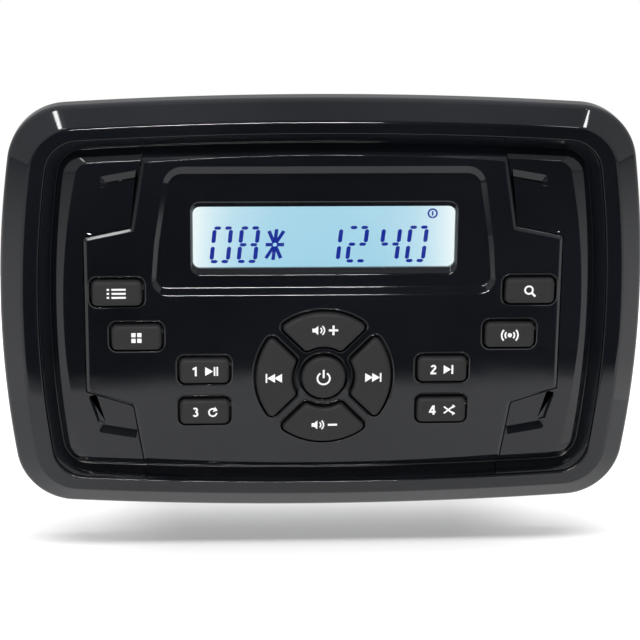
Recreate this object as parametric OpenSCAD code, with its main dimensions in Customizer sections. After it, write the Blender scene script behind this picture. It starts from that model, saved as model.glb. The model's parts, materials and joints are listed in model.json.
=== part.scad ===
// Flush-mounted car stereo: a gloss trim frame round a raised key plate, screw covers at both sides,
// a lit display, thirteen push keys, and a sheet-metal chassis that goes through the panel.
// X is to the right, Z is up and Y goes back through the panel, whose front face is the plane Y = 0.

/* [Face outline] */
// Width of the trim frame
face_w = 165; // [155:0.5:180]
// Height of the trim frame
face_h = 108.8; // [104:0.2:122]
// Bow radius of the left and right edges
side_bow_r = 264; // [200:2:400]
// Bow radius of the top and bottom edges
top_bow_r = 1100; // [600:10:2000]
// Radius of the outer corners
corner_r = 15.4; // [13:0.2:18]

/* [Trim frame] */
// Width of the bevel at the left and right
bevel_side = 5.8; // [4:0.1:7]
// Width of the bevel at the top and bottom
bevel_top = 5.1; // [3.5:0.1:6]
// Depth of the bevel
bevel_depth = 4.6; // [3:0.1:5]
// Corner radius where the bevel meets the front band
bevel_corner_r = 11.2; // [10:0.1:12.5]
// Width of the front band at the left and right
band_side = 4.1; // [3.5:0.1:4.6]
// Width of the front band at the top and bottom
band_top = 3.25; // [3:0.05:4]
// Corner radius of the inner edge of the band
band_corner_r = 8.8; // [8:0.1:9.6]
// Rounding of the inner edge of the band
band_edge = 0.45; // [0.2:0.05:0.8]
// Wall thickness of the frame
frame_wall = 2; // [1.6:0.1:2.4]
// Gap between the frame and the panel
frame_lift = 0.4; // [0.2:0.1:0.8]
// Length of a snap hook
hook_len = 12; // [8:1:20]
// How far a snap hook reaches under the flange
hook_grip = 0.8; // [0.5:0.1:1]
// Thickness of a snap hook
hook_t = 0.8; // [0.6:0.1:0.9]

/* [Key plate and covers] */
// Width of the trough between the frame and the rim at the left and right
trough_side = 4.15; // [3.8:0.05:5]
// Width of the trough at the top and bottom
trough_top = 3.95; // [3.4:0.05:4.4]
// Depth of the trough below the plate
trough_depth = 3; // [2.4:0.1:3.4]
// Thickness of the trough floor
trough_t = 1.4; // [1:0.1:1.6]
// How far below the face the trough starts beside the frame
trough_lip = 0.6; // [0.5:0.1:1]
// Corner radius at the foot of the rim
rim_foot_r = 5.6; // [5:0.1:6.4]
// How far the steep part of the rim leans in above its foot
rim_lean = 0.3; // [0.2:0.05:0.5]
// Height of the sloping part of the rim
rim_rise = 1.7; // [1.3:0.1:2]
// Width of the rim at the left and right
rim_side = 1.95; // [1.2:0.05:2.2]
// Width of the rim at the top and bottom
rim_top = 1.3; // [1:0.1:1.8]
// Corner radius at the top of the rim
rim_corner_r = 3.7; // [3.2:0.1:4.4]
// Bow radius of the left and right edges of the rim
rim_side_bow_r = 168; // [140:2:220]
// Bow radius of the top and bottom edges of the rim
rim_top_bow_r = 590; // [450:10:900]
// Thickness of the plate and the covers
plate_t = 2; // [1.6:0.1:2.4]
// How far the plate stands proud of the covers
plate_proud = 0.6; // [0.3:0.1:0.9]
// Width of the chamfer along the seams of the plate
seam_chamfer = 0.8; // [0.4:0.1:1.1]
// How much further in a cover's flat starts than the plate's rim at the top and bottom
cover_set = 1.45; // [1:0.05:1.8]
// Bow radius of the outer edge of a cover's flat
cover_bow_r = 155; // [145:1:168]
// Corner radius of a cover's flat
cover_corner_r = 2.5; // [2:0.1:3.5]
// Gap along the seams
seam_gap = 0.2; // [0.1:0.05:0.3]
// Width of a cover beside the plate's wing
cover_w = 5.7; // [4.5:0.1:7]
// Top of the plate's wings above the middle of the face
wing_top = 19.5; // [18:0.1:21]
// Bottom of the plate's wings below the middle of the face
wing_bottom = 21.1; // [19:0.1:23]
// How far a cover's tab reaches over the wing
tab_w = 12; // [10:0.1:13]
// Rise of the upper edge of the wings under a tab
tab_rise_top = 2.5; // [1:0.1:4]
// Fall of the lower edge of the wings over a tab
tab_rise_bottom = 3.9; // [1:0.1:5]
// Lean of the seams towards the top and the bottom, in degrees
neck_lean = 9.4; // [4:0.2:12]

/* [Pry slots] */
// Distance of the outer end of the upper slots from the wing's edge
slot_in_top = 4.6; // [3:0.1:5]
// Distance of the outer end of the lower slots from the wing's edge
slot_in_bottom = 3; // [2:0.1:5]
// Distance of the upper slots from the top of the rim
slot_drop = 6.6; // [5.5:0.1:8]
// Distance of the lower slots from the bottom of the rim
slot_rise = 9.8; // [6:0.1:11]
// Length of a slot, which runs out over the seam
slot_len = 12.5; // [12:0.1:13]
// Height of a slot
slot_h = 2.3; // [1.8:0.1:2.8]
// Depth of a slot
slot_depth = 1.3; // [0.8:0.1:1.4]
// Slope of a slot
slot_tilt = 10; // [4:1:14]
// Width of the channel from a slot to the wing's corner
channel_w = 2.2; // [1.6:0.1:2.6]
// Depth of that channel
channel_depth = 0.6; // [0.4:0.1:0.9]
// Distance of the channel's end from the wing's edge
channel_in = 1.4; // [1.1:0.1:2]

/* [Display] */
// Distance of the display recess from the top of the rim
recess_drop = 2.9; // [2.4:0.1:4]
// Distance from the middle of the round pad up to the recess
recess_rise = 21.7; // [20:0.1:23]
// Distance from the wing's edge in to the recess at its bottom
recess_in = 16.6; // [16:0.1:18]
// How far the recess narrows from its bottom to its waist
recess_waist = 1; // [0.4:0.1:1.6]
// How far the recess narrows from its waist to its top
recess_taper = 3; // [2:0.1:4.5]
// Place of the waist in the height of the recess
waist_part = 0.4; // [0.3:0.01:0.5]
// Radius of the upper recess corners
recess_top_r = 5.2; // [4:0.1:6]
// Radius of the lower recess corners
recess_bottom_r = 4.4; // [3.6:0.1:5]
// Radius that blends the waist of the recess
recess_mid_r = 60; // [40:5:70]
// Width of the sloping rim of the recess
recess_rim = 1.95; // [1.2:0.05:2.2]
// Share of that width at the left and right
recess_side_part = 0.75; // [0.6:0.05:1]
// Depth of the recess
recess_depth = 0.8; // [0.5:0.1:1]
// Distance from the waist of the recess in to the window
window_in = 9.3; // [8.5:0.1:10.5]
// Height of the recess above and below the window together
window_over = 14.5; // [13.5:0.1:16]
// How far the window sits below the middle of the recess
window_low = 2; // [1.4:0.1:2.4]
// Corner radius of the window
window_r = 2.4; // [2:0.1:3]
// How far the window's sill slopes in at the top and bottom
sill_h = 1.5; // [0.8:0.1:1.8]
// How far the window's sill slopes in at the left and right
sill_w = 0.6; // [0.3:0.1:1]
// Border of the lens round the window
lens_border = 1.6; // [1:0.1:2]
// Thickness of the lens
lens_t = 1.2; // [0.8:0.1:1.4]
// Thickness of the display glass
lcd_t = 1.5; // [1.1:0.1:1.6]

/* [Keys] */
// Width of an oblong key
key_w = 12.7; // [12:0.1:13]
// Height of an oblong key
key_h = 6.7; // [6:0.1:7]
// Corner radius of an oblong key
key_r = 1.4; // [1.2:0.1:2]
// How far the keys stand proud of the plate
key_proud = 1.4; // [1:0.1:2]
// Travel of a key
key_travel = 0.9; // [0.6:0.05:1]
// Gap between a key and its opening
key_gap = 0.4; // [0.3:0.05:0.5]
// Width of the lip chamfer round an opening
key_lip = 0.45; // [0.2:0.05:0.5]
// Rounding of the edge of a key's top
key_edge = 0.7; // [0.4:0.05:0.9]
// Reach of a key's flange behind the plate
key_grip = 0.45; // [0.3:0.05:0.5]
// Thickness of a key's flange
key_flange_t = 0.8; // [0.6:0.1:1]
// Gap between a key's flange and the plate
key_seat_gap = 0.3; // [0.2:0.05:0.4]
// How far a key's stem is smaller than its cap
stem_inset = 1.4; // [1.2:0.1:1.6]
// Distance of the upper outer keys from the wing's edge
select_in = 8.2; // [7.6:0.1:9]
// Height of the upper outer keys above the middle of the round pad
select_rise = 22.8; // [22:0.1:24]
// Distance of the lower outer keys from the wing's edge
mode_in = 13; // [12:0.1:15]
// Height of the lower outer keys above the middle of the round pad
mode_rise = 11.1; // [10.5:0.1:12]
// Distance from the round pad to the middle of the number keys
number_out = 13.2; // [11:0.1:14]
// Height of the upper number keys above the middle of the round pad
one_rise = 2; // [1:0.1:3]
// Height of the lower number keys below the middle of the round pad
three_drop = 9; // [8.2:0.1:10]

/* [Round pad] */
// Distance from the bottom of the rim up to the middle of the round pad
pad_rise = 23.5; // [22:0.1:25]
// Outer radius of the petals
petal_out_r = 17.4; // [17:0.1:17.6]
// Inner radius of the petals
petal_in_r = 8.1; // [8:0.1:8.6]
// Half width of the web between two petals
petal_web = 1.6; // [1.4:0.1:2]
// Corner radius of the petals
petal_corner_r = 1.3; // [1.2:0.1:1.6]
// Radius of the power key
power_r = 5.7; // [5:0.1:5.8]

/* [Front stack] */
// Thickness of the panel gasket
gasket_t = 1.5; // [1:0.1:2]
// Thickness of the mounting flange
flange_t = 2; // [1.8:0.1:3]
// Gap between parts that slide into each other
fit_gap = 0.3; // [0.2:0.05:0.4]
// Thickness of the key board
board_t = 1.6; // [1.2:0.1:2]
// How far the key board ends below the top of the rim
board_drop = 4.4; // [4:0.1:5]
// Thickness of the keypad mat
mat_t = 1.2; // [0.8:0.1:1.2]
// Room left between a pressed key and the mat
press_room = 0.2; // [0.15:0.05:0.3]
// Thickness of a contact pad
pad_t = 0.1; // [0.05:0.05:0.15]
// Thickness of the supporting rib of the case
rib_t = 1.8; // [1.4:0.1:2.2]

/* [Mounting] */
// Distance of the panel screws from the band's inner edge at the sides
mount_in_x = 9.1; // [9:0.1:9.6]
// Distance of the panel screws from the band's inner edge at the top and bottom
mount_in_z = 6.55; // [6:0.05:6.8]
// Radius of the panel screw holes
mount_r = 2.1; // [1.8:0.1:2.2]
// Radius of the support stud
stud_r = 2.5; // [2:0.25:3]
// Free length of the support stud
stud_len = 9; // [8:0.5:10]

/* [Chassis] */
// How much smaller the chassis is than the key board, at each edge
chassis_in = 0.5; // [0.2:0.1:1]
// Depth of the chassis behind the panel
chassis_d = 43; // [41:0.5:52]
// Sheet thickness
sheet_t = 1; // [0.8:0.1:1.2]
// Length of the folded lips of the lid
lip_len = 7; // [6:0.5:9]
// Height of the pressed stiffening beads
bead_h = 0.8; // [0.5:0.1:1.2]
// Half width of a pressed bead
bead_r = 2.5; // [2:0.1:3]

/* [Heat sink] */
// Width of the heat sink
sink_w = 74; // [66:1:80]
// Height of the heat sink
sink_h = 30; // [27:0.5:32]
// Thickness of the heat sink's base
sink_base = 3.5; // [2.5:0.1:4.5]
// Depth of the fins
fin_d = 9; // [6:0.5:11]
// Thickness of a fin
fin_t = 1.6; // [1.2:0.1:2]
// Number of fins
fin_count = 13; // [9:2:15]

/* [Boards and sockets] */
// Thickness of the main board
main_t = 1.6; // [1.2:0.1:2]
// Height of the main board above the chassis floor
main_lift = 6; // [5:0.5:8]
// Radius of the small screws
screw_r = 1.25; // [1:0.05:1.4]
// Height of the row of sockets above the main board
socket_rise = 10.3; // [9.5:0.1:11]
// Place of the harness socket across
harness_x = -34; // [-36:0.5:-33]
// Place of the fuse across
fuse_x = -8; // [-9:0.5:-7]
// Place of the first line socket across
line_x = 14; // [12:0.5:15]
// Distance between the line sockets
line_pitch = 11; // [10:0.5:12]
// Place of the antenna socket across
antenna_x = 40; // [39:0.5:42]
// Place of the support stud across
stud_x = 5; // [4:0.5:6]
// Height of the middle of the heat sink above the middle of the chassis
sink_rise = 14; // [12:0.5:15]
// Bore radius of the antenna socket
antenna_r = 4.7; // [4:0.1:5]
// Bore depth of the antenna socket
antenna_depth = 12; // [9:0.5:13]
// Wall of the sockets
socket_wall = 1.4; // [1:0.1:1.8]
// Inner width of the harness socket
harness_w = 30; // [26:0.5:33]
// Inner height of the harness socket
harness_h = 10; // [8:0.5:11]
// Depth of the harness socket
harness_d = 10; // [8:0.5:12]

/* [Hidden] */

$fn = 48;
cut = 1;

// Colours
gloss = [0.05, 0.055, 0.065];
rubber = [0.17, 0.17, 0.18];
steel = [0.66, 0.67, 0.69];
copper_green = [0.08, 0.3, 0.16];
brass = [0.83, 0.68, 0.28];

// Levels, counted forward from the panel
flange_f = gasket_t + flange_t;
board_f = flange_f + board_t;
mat_f = board_f + mat_t;
key_back_f = mat_f + press_room + key_travel;
key_front_f = key_back_f + key_flange_t;
plate_back_f = key_front_f + key_seat_gap;
face_f = plate_back_f + plate_t;
cover_f = face_f - plate_proud;
trough_f = face_f - trough_depth;
trough_back_f = trough_f - trough_t;
trough_lip_f = face_f - trough_lip;
shoulder_f = face_f - rim_rise;
recess_f = face_f - recess_depth;
key_top_f = face_f + key_proud;
stem_f = board_f + pad_t + key_travel + press_room;
lens_f = plate_back_f - lens_t;
lcd_f = lens_f - lcd_t;
rear_f = -chassis_d;
sink_f = rear_f - sink_base;

// Outlines as [half width, half height, side bow radius, top bow radius, corner radius]
outer_ring = [face_w / 2, face_h / 2, side_bow_r, top_bow_r, corner_r];
bevel_ring = within(outer_ring, bevel_side, bevel_top, bevel_corner_r);
band_ring = within(bevel_ring, band_side, band_top, band_corner_r);
foot_ring = within(band_ring, trough_side, trough_top, rim_foot_r);
rim_ring = [foot_ring[0] - rim_side, foot_ring[1] - rim_top, rim_side_bow_r, rim_top_bow_r, rim_corner_r];
shoulder_ring = shrink(foot_ring, rim_lean);
cover_ring = [rim_ring[0], rim_ring[1] - cover_set, cover_bow_r, top_bow_r, cover_corner_r];
pocket_ring = shrink(rim_ring, plate_t);
case_ring = shrink(outer_ring, frame_wall + fit_gap);
gasket_ring = shrink(case_ring, frame_wall);

// Seams and openings of the plate, placed from the rim
wing_x = rim_ring[0] - cover_w;
tab_x = wing_x - tab_w;
tab_top = wing_top + tab_rise_top;
tab_bottom = wing_bottom + tab_rise_bottom;
pad_z = pad_rise - rim_ring[1];
select_at = [wing_x - select_in, pad_z + select_rise];
mode_at = [wing_x - mode_in, pad_z + mode_rise];
one_at = [petal_out_r + number_out, pad_z + one_rise];
three_at = [petal_out_r + number_out, pad_z - three_drop];
recess_top = rim_ring[1] - recess_drop;
recess_bottom = pad_z + recess_rise;
recess_h = recess_top - recess_bottom;
recess_bottom_x = wing_x - recess_in;
recess_mid_x = recess_bottom_x - recess_waist;
recess_top_x = recess_mid_x - recess_taper;
recess_mid_z = recess_bottom + waist_part * recess_h;
window_w = 2 * (recess_mid_x - window_in);
window_h = recess_h - window_over;
window_z = recess_bottom + recess_h / 2 - window_low;
window_back_w = window_w - 2 * sill_w;
window_back_h = window_h - 2 * sill_h;
lens_w = window_w + 2 * lens_border;
lens_h = window_h + 2 * lens_border;

// Key board, chassis and its inner box
board_side = 0.3;
board_w = 2 * (wing_x - board_side);
board_h = 2 * (rim_ring[1] - board_drop);
mat_in = 2;
chassis_w = board_w - 2 * chassis_in;
chassis_h = board_h - 2 * chassis_in;
inner_w = chassis_w - 2 * sheet_t;
lid_z = chassis_h / 2 - sheet_t;
floor_z = -chassis_h / 2 + sheet_t;
main_z = floor_z + main_lift + main_t;

// Screws: heads, pilot holes and clearance holes
head_r = 2 * screw_r;
head_h = screw_r;
hole_r = screw_r + 0.1;
fine_r = 0.75 * screw_r;

// Fixing places, as [x, z]
plate_boss_r = 2.2;
boss_neck = 5.6;
boss_z = lid_z - 2 * fine_r - fit_gap;
boss_wing = [3.8, 1.9];
board_hole_in = [4.5, 5.5];
mount_dx = 2 * (band_ring[0] - mount_in_x);
mount_dz = 2 * (band_ring[1] - mount_in_z);
plate_bosses = [for (x = [-1, 1]) each [[x * (tab_x - boss_neck), boss_z], [x * (tab_x - boss_neck), -boss_z],
    [x * (wing_x - boss_wing[0]), pad_z + boss_wing[1]]]];
board_holes = [for (x = [-1, 1]) for (z = [-1, 1])
    [x * (board_w / 2 - board_hole_in[0]), z * (board_h / 2 - board_hole_in[1])]];
mount_holes = [for (x = [-1, 1]) for (z = [-1, 1]) [x * mount_dx / 2, z * mount_dz / 2]];
lamp_size = [1.2, 1];
lamp_t = 0.9;
lamp_places = [for (at = [select_at, mode_at, one_at, three_at]) each
    [at + [key_w / 2, 0], flipped(at) + [key_w / 2, 0]]];
pad_r = 1.6;

// Posts of the screw covers, just inside the foot of the rim
post_r = 1.4;
post_in = 0.9;
post_z = rim_ring[1] * 0.66;
cover_posts = [for (z = [0, post_z, -post_z]) [ring_x(foot_ring, z) - post_in, z]];

// Places of whatever passes through the rear wall, as [x, z]
socket_z = main_z + socket_rise;
sink_at = [0, sink_rise];
harness_at = [harness_x, socket_z];
antenna_at = [antenna_x, socket_z + 1];
line_at = [[line_x, socket_z], [line_x + line_pitch, socket_z]];
fuse_at = [fuse_x, socket_z];
stud_head_r = 1.8 * stud_r;
stud_at = [stud_x, floor_z + stud_head_r + 0.4];
line_r = 4.2;
line_bore_r = 1.6;
flange_reach = 1.6;
flange_out = 1.2;
sink_pad = [44, 18];
pad_depth = 8;

// Half width of a bowed outline at a height near its middle
function ring_x(ring, z) = ring[0] - ring[2] + sqrt(ring[2] * ring[2] - z * z);

// An outline moved in by different amounts at the sides and at the top
function within(ring, side, top, r) =
    [ring[0] - side, ring[1] - top, ring[2] - side, ring[3] - top, r];

// An outline moved in by the same amount all round
function shrink(ring, d) =
    [ring[0] - d, ring[1] - d, ring[2] - d, ring[3] - d, max(ring[4] - d, 0.8)];

// Points on an arc, with or without its last point
function arc(c, r, from, to, steps) =
    [for (i = [0:steps]) let (a = from + (to - from) * i / steps) c + r * [cos(a), sin(a)]];
function open_arc(c, r, from, to, steps) =
    [for (i = [0:steps - 1]) let (a = from + (to - from) * i / steps) c + r * [cos(a), sin(a)]];

// A quarter of a bowed outline: side arc, tangent corner arc and top arc
function quarter(ring) =
    let (top = [0, ring[1] - ring[3]], side = [ring[0] - ring[2], 0], r = ring[4])
    let (a = ring[3] - r, b = ring[2] - r, d = norm(side - top), u = (side - top) / d)
    let (m = (a * a - b * b + d * d) / (2 * d), q = sqrt(a * a - m * m))
    let (k = top + m * u + q * [u[1], -u[0]])
    let (a_top = atan2(k[1] - top[1], k[0]), a_side = atan2(k[1], k[0] - side[0]))
    concat(open_arc(side, ring[2], 0, a_side, 4), open_arc(k, r, a_side, a_top, 8),
        arc(top, ring[3], a_top, 90, 4));

// The whole outline, anticlockwise as seen from the front
function bowed(ring) =
    let (q = quarter(ring), n = len(q) - 1)
    concat([for (i = [0:n - 1]) q[i]], [for (i = [n:-1:1]) [-q[i][0], q[i][1]]],
        [for (i = [0:n - 1]) -q[i]], [for (i = [n:-1:1]) [q[i][0], -q[i][1]]]);

// A rectangle with round corners
function oblong(w, h, r) =
    let (x = w / 2 - r, z = h / 2 - r)
    concat(arc([x, -z], r, -90, 0, 5), arc([x, z], r, 0, 90, 5), arc([-x, z], r, 90, 180, 5),
        arc([-x, -z], r, 180, 270, 5));

// A petal to the right of the pad: two arcs about its middle and two sides beside the diagonals
function petal(d) =
    let (ro = petal_out_r - d, ri = petal_in_r + d, s = petal_web + d, r = max(petal_corner_r - d, 0.3))
    let (ao = 45 - asin((s + r) / (ro - r)), ai = 45 - asin((s + r) / (ri + r)))
    let (o = (ro - r) * [cos(ao), sin(ao)], i = (ri + r) * [cos(ai), sin(ai)])
    concat(open_arc([0, 0], ro, -ao, ao, 10), arc(o, r, ao, 135, 4), open_arc(i, r, 135, 180 + ai, 4),
        open_arc([0, 0], ri, ai, -ai, 6), arc([i[0], -i[1]], r, 180 - ai, 225, 4),
        open_arc([o[0], -o[1]], r, 225, 360 - ao, 4));

// A closed outline moved in by d, corner by corner
function mitred(pts, d) =
    let (n = len(pts))
    [for (i = [0:n - 1])
        let (p = pts[(i + n - 1) % n], q = pts[i], s = pts[(i + 1) % n])
        let (u = (q - p) / norm(q - p), v = (s - q) / norm(s - q))
        let (a = [-u[1], u[0]], b = [-v[1], v[0]])
        q + d * (a + b) / (1 + a * b)];

// A closed outline whose corners are rounded by tangent arcs
function rounded(pts, radii, steps) =
    let (n = len(pts))
    [for (i = [0:n - 1])
        let (p = pts[(i + n - 1) % n], q = pts[i], s = pts[(i + 1) % n])
        let (u = (q - p) / norm(q - p), v = (s - q) / norm(s - q), r = radii[i])
        let (turn = atan2(u[0] * v[1] - u[1] * v[0], u * v), t = r * tan(turn / 2))
        let (c = q - t * u + r * [-u[1], u[0]], a = atan2(-u[0], u[1]))
        each arc(c, r, a, a + turn, steps)];

function turned(pts, a) = [for (p = pts) [p[0] * cos(a) - p[1] * sin(a), p[0] * sin(a) + p[1] * cos(a)]];
function moved(pts, by) = [for (p = pts) p + by];
function flipped(at) = [-at[0], at[1]];

// The plate's outline along the seams, which runs past it at the top and bottom
function seam(d) =
    let (far = band_ring[1] + 4 * cut, lean = tan(neck_lean))
    let (top_x = tab_x - lean * (far - tab_top), bottom_x = tab_x - lean * (far - tab_bottom))
    mitred([[wing_x, -wing_bottom], [wing_x, wing_top], [tab_x, tab_top], [top_x, far], [-top_x, far],
        [-tab_x, tab_top], [-wing_x, wing_top], [-wing_x, -wing_bottom], [-tab_x, -tab_bottom],
        [-bottom_x, -far], [bottom_x, -far], [tab_x, -tab_bottom]], d);

// The display recess, moved in by d at the top and bottom and by less at the sides
function recess(d) =
    let (s = d * recess_side_part)
    let (half = [[recess_bottom_x - s, recess_bottom + d], [recess_mid_x - s, recess_mid_z],
        [recess_top_x - s, recess_top - d]])
    let (pts = concat(half, [for (i = [2:-1:0]) [-half[i][0], half[i][1]]]))
    let (radii = [recess_bottom_r, recess_mid_r, recess_top_r])
    rounded(pts, [for (i = [0, 1, 2, 2, 1, 0]) radii[i] - d], 5);

// Solid between two levels counted forward from the panel
module slab(from, to) {
    translate([0, -from, 0]) rotate([90, 0, 0]) linear_extrude(to - from) children();
}

// Round bar along Y at [x, z]
module rod(at, r, from, to) {
    translate([at[0], -from, at[1]]) rotate([90, 0, 0]) cylinder(h = to - from, r = r);
}

// Box with its middle at [x, z], between two levels
module block(at, size, from, to) {
    slab(from, to) translate(at) square(size, center = true);
}

// Skin over outlines given as [level, points], from the back to the front
module loft(rings) {
    n = len(rings[0][1]);
    m = len(rings);
    points = [for (r = rings) for (p = r[1]) [p[0], -r[0], p[1]]];
    sides = [for (k = [0:m - 2]) for (i = [0:n - 1])
        let (a = k * n + i, b = k * n + (i + 1) % n)
        each [[a, a + n, b + n], [a, b + n, b]]];
    ends = [[for (i = [0:n - 1]) i], [for (i = [n - 1:-1:0]) (m - 1) * n + i]];
    polyhedron(points, concat(sides, ends), convexity = 6);
}

// Skin round a closed profile carried along the frame, given as [level, outline]
module hoop(profile) {
    n = len(bowed(profile[0][1]));
    m = len(profile);
    points = [for (r = profile) for (p = bowed(r[1])) [p[0], -r[0], p[1]]];
    sides = [for (k = [0:m - 1]) for (i = [0:n - 1])
        let (this = k * n, next = ((k + 1) % m) * n, j = (i + 1) % n)
        each [[this + i, next + i, next + j], [this + i, next + j, this + j]]];
    polyhedron(points, sides, convexity = 6);
}

// Screw with a flat round head, whose head sits on the level "seat" and whose shank runs to "tip"
module screw(at, seat, tip, r) {
    away = seat > tip ? 1 : -1;
    rod(at, r, min(seat, tip), max(seat, tip));
    rod(at, 2 * r, min(seat, seat + away * r), max(seat, seat + away * r));
}

// A key's cap, flange and stem as one stepped skin over an outline that takes an inset
module key_body(insets) {
    loft([[stem_f, insets[0]], [key_back_f, insets[0]], [key_back_f, insets[1]], [key_front_f, insets[1]],
        [key_front_f, insets[2]], [key_top_f - key_edge, insets[2]], [key_top_f - key_round, insets[3]],
        [key_top_f, insets[4]]]);
}

key_round = 0.3 * key_edge;
key_insets = [stem_inset, -key_gap - key_grip, 0, key_round, key_edge];
key_least_r = 0.4;

// Outline of an oblong key about its middle, moved in by d
function key_oblong(d) = oblong(key_w - 2 * d, key_h - 2 * d, max(key_r - d, key_least_r));

module oblong_key(at) {
    color(rubber) key_body([for (d = key_insets) moved(key_oblong(d), at)]);
}

module petal_key(angle) {
    color(rubber) key_body([for (d = key_insets) moved(turned(petal(d), angle), [0, pad_z])]);
}

module round_key() {
    color(rubber) translate([0, 0, pad_z]) rotate([90, 0, 0]) rotate_extrude()
        polygon([[0, stem_f], [power_r - stem_inset, stem_f], [power_r - stem_inset, key_back_f],
            [power_r + key_gap + key_grip, key_back_f], [power_r + key_gap + key_grip, key_front_f],
            [power_r, key_front_f], [power_r, key_top_f - key_edge],
            [power_r - key_round, key_top_f - key_round], [power_r - key_edge, key_top_f], [0, key_top_f]]);
}

// An opening through the plate with a chamfered lip
module lipped(shape, lip) {
    loft([[plate_back_f - cut, shape], [face_f - key_lip, shape], [face_f, lip], [face_f + cut, lip]]);
}

module key_openings() {
    g = 2 * key_gap;
    l = 2 * (key_gap + key_lip);
    for (at = [select_at, mode_at, one_at, three_at])
        for (p = [at, flipped(at)])
            lipped(moved(oblong(key_w + g, key_h + g, key_r + key_gap), p),
                moved(oblong(key_w + l, key_h + l, key_r + l / 2), p));
    for (a = [0:90:270])
        lipped(moved(turned(petal(-key_gap), a), [0, pad_z]),
            moved(turned(petal(-key_gap - key_lip), a), [0, pad_z]));
    translate([0, 0, pad_z]) rotate([90, 0, 0]) rotate_extrude()
        polygon([[0, plate_back_f - cut], [power_r + key_gap, plate_back_f - cut],
            [power_r + key_gap, face_f - key_lip], [power_r + key_gap + key_lip, face_f],
            [power_r + key_gap + key_lip, face_f + cut], [0, face_f + cut]]);
}

// Trough, which slopes in from the frame to the foot of the rim, and the field inside it up to a level, before
// the seams divide them
module fascia(top_f, top_ring) {
    bed = bowed(shrink(band_ring, seam_gap));
    loft([[trough_back_f, bed], [trough_lip_f, bed], [trough_f, bowed(foot_ring)],
        [shoulder_f, bowed(shoulder_ring)], [top_f, bowed(top_ring)]]);
}

// Hollow behind the plate and the covers, up to a level
module hollow(to_f) {
    slab(trough_back_f - cut, to_f) polygon(bowed(pocket_ring));
}

module front_frame() {
    inner_wall = within(band_ring, -frame_wall, -frame_wall, band_corner_r + frame_wall);
    under = shrink(bevel_ring, -0.3 * frame_wall);
    color(gloss) {
        hoop([[frame_lift, outer_ring], [face_f - bevel_depth, outer_ring], [face_f, bevel_ring],
            [face_f, shrink(band_ring, -band_edge)], [face_f - band_edge, band_ring], [flange_f, band_ring],
            [flange_f, inner_wall], [face_f - frame_wall, inner_wall], [face_f - frame_wall, under],
            [face_f - bevel_depth - 0.4 * frame_wall, shrink(outer_ring, frame_wall)],
            [frame_lift, shrink(outer_ring, frame_wall)]]);
        for (x = [-1, 1]) for (z = [-1, 1]) {
            snap_hook([x * face_w / 4, z * (outer_ring[1] - hook_drop(face_w / 4))], 0);
        }
        for (x = [-1, 1]) snap_hook([x * outer_ring[0], 0], 90);
    }
}

// How far the bowed top edge has dropped at a distance from the middle
function hook_drop(x) = top_bow_r - sqrt(top_bow_r * top_bow_r - x * x);

// A snap hook inside the frame's wall, which grips the back of the flange
module snap_hook(at, angle) {
    root = frame_wall / 2;
    reach = root + fit_gap + hook_grip;
    inward = angle == 0 ? [0, -sign(at[1])] : [-sign(at[0]), 0];
    size = angle == 0 ? [hook_len, reach] : [reach, hook_len];
    block(at + inward * (root + reach / 2), size, frame_lift, frame_lift + hook_t);
}

module centre_plate() {
    color(gloss) difference() {
        intersection() {
            fascia(face_f, rim_ring);
            loft([[trough_back_f - cut, seam(0)], [cover_f, seam(0)],
                [face_f + cut, seam(seam_chamfer * (1 + cut / plate_proud))]]);
        }
        difference() {
            hollow(plate_back_f);
            for (at = plate_bosses) rod(at, plate_boss_r, trough_back_f - 2 * cut, plate_back_f + cut);
        }
        key_openings();
        loft([[recess_f, recess(recess_rim)], [face_f, recess(0)], [face_f + cut, recess(0)]]);
        window();
        for (at = plate_bosses) rod(at, fine_r, trough_back_f - cut, plate_back_f);
    }
    color(gloss) for (at = plate_bosses) difference() {
        rod(at, plate_boss_r, flange_f, trough_back_f);
        rod(at, fine_r, flange_f - cut, trough_back_f + cut);
    }
}

// The display window, with a sill that slopes in towards the lens
module window() {
    back = moved(oblong(window_back_w, window_back_h, window_r - sill_w), [0, window_z]);
    front = moved(oblong(window_w, window_h, window_r), [0, window_z]);
    loft([[plate_back_f - cut, back], [plate_back_f, back], [recess_f, front], [recess_f + cut, front]]);
}

// A pry slot with a sloping wall, which runs from its round outer end to past the seam, and the channel from that
// end to the wing's corner
module pry_slot(side, level) {
    end = level > 0 ? [wing_x - slot_in_top, rim_ring[1] - slot_drop]
        : [wing_x - slot_in_bottom, rim_ring[1] - slot_rise];
    round = slot_h / 2 - slot_flat;
    mouth = moved(oblong(slot_len, slot_h, round), [-slot_len / 2, 0]);
    base = moved(oblong(slot_len, slot_h / 2, round / 2), [-slot_len / 2 - slot_h / 4, -slot_h / 4]);
    knee = end - [slot_h / 2, 0];
    run = [wing_x - channel_in, level > 0 ? wing_top : wing_bottom] - knee;
    function tilted(pts) = moved(turned(pts, -slot_tilt), end);
    function strip(w) = moved(turned(moved(oblong(norm(run) + w, w, w / 2 - slot_flat), [norm(run) / 2, 0]),
        atan2(run[1], run[0])), knee);
    function placed(pts) = [for (p = pts) [side * p[0], level * p[1]]];
    function wound(pts) = side * level > 0 ? pts : [for (i = [len(pts) - 1:-1:0]) pts[i]];
    loft([[cover_f - slot_depth, wound(placed(tilted(base)))], [cover_f, wound(placed(tilted(mouth)))],
        [cover_f + cut, wound(placed(tilted(mouth)))]]);
    loft([[cover_f - channel_depth, wound(placed(strip(channel_w / 2)))],
        [cover_f, wound(placed(strip(channel_w)))], [cover_f + cut, wound(placed(strip(channel_w)))]]);
}
slot_flat = 0.05;

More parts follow.
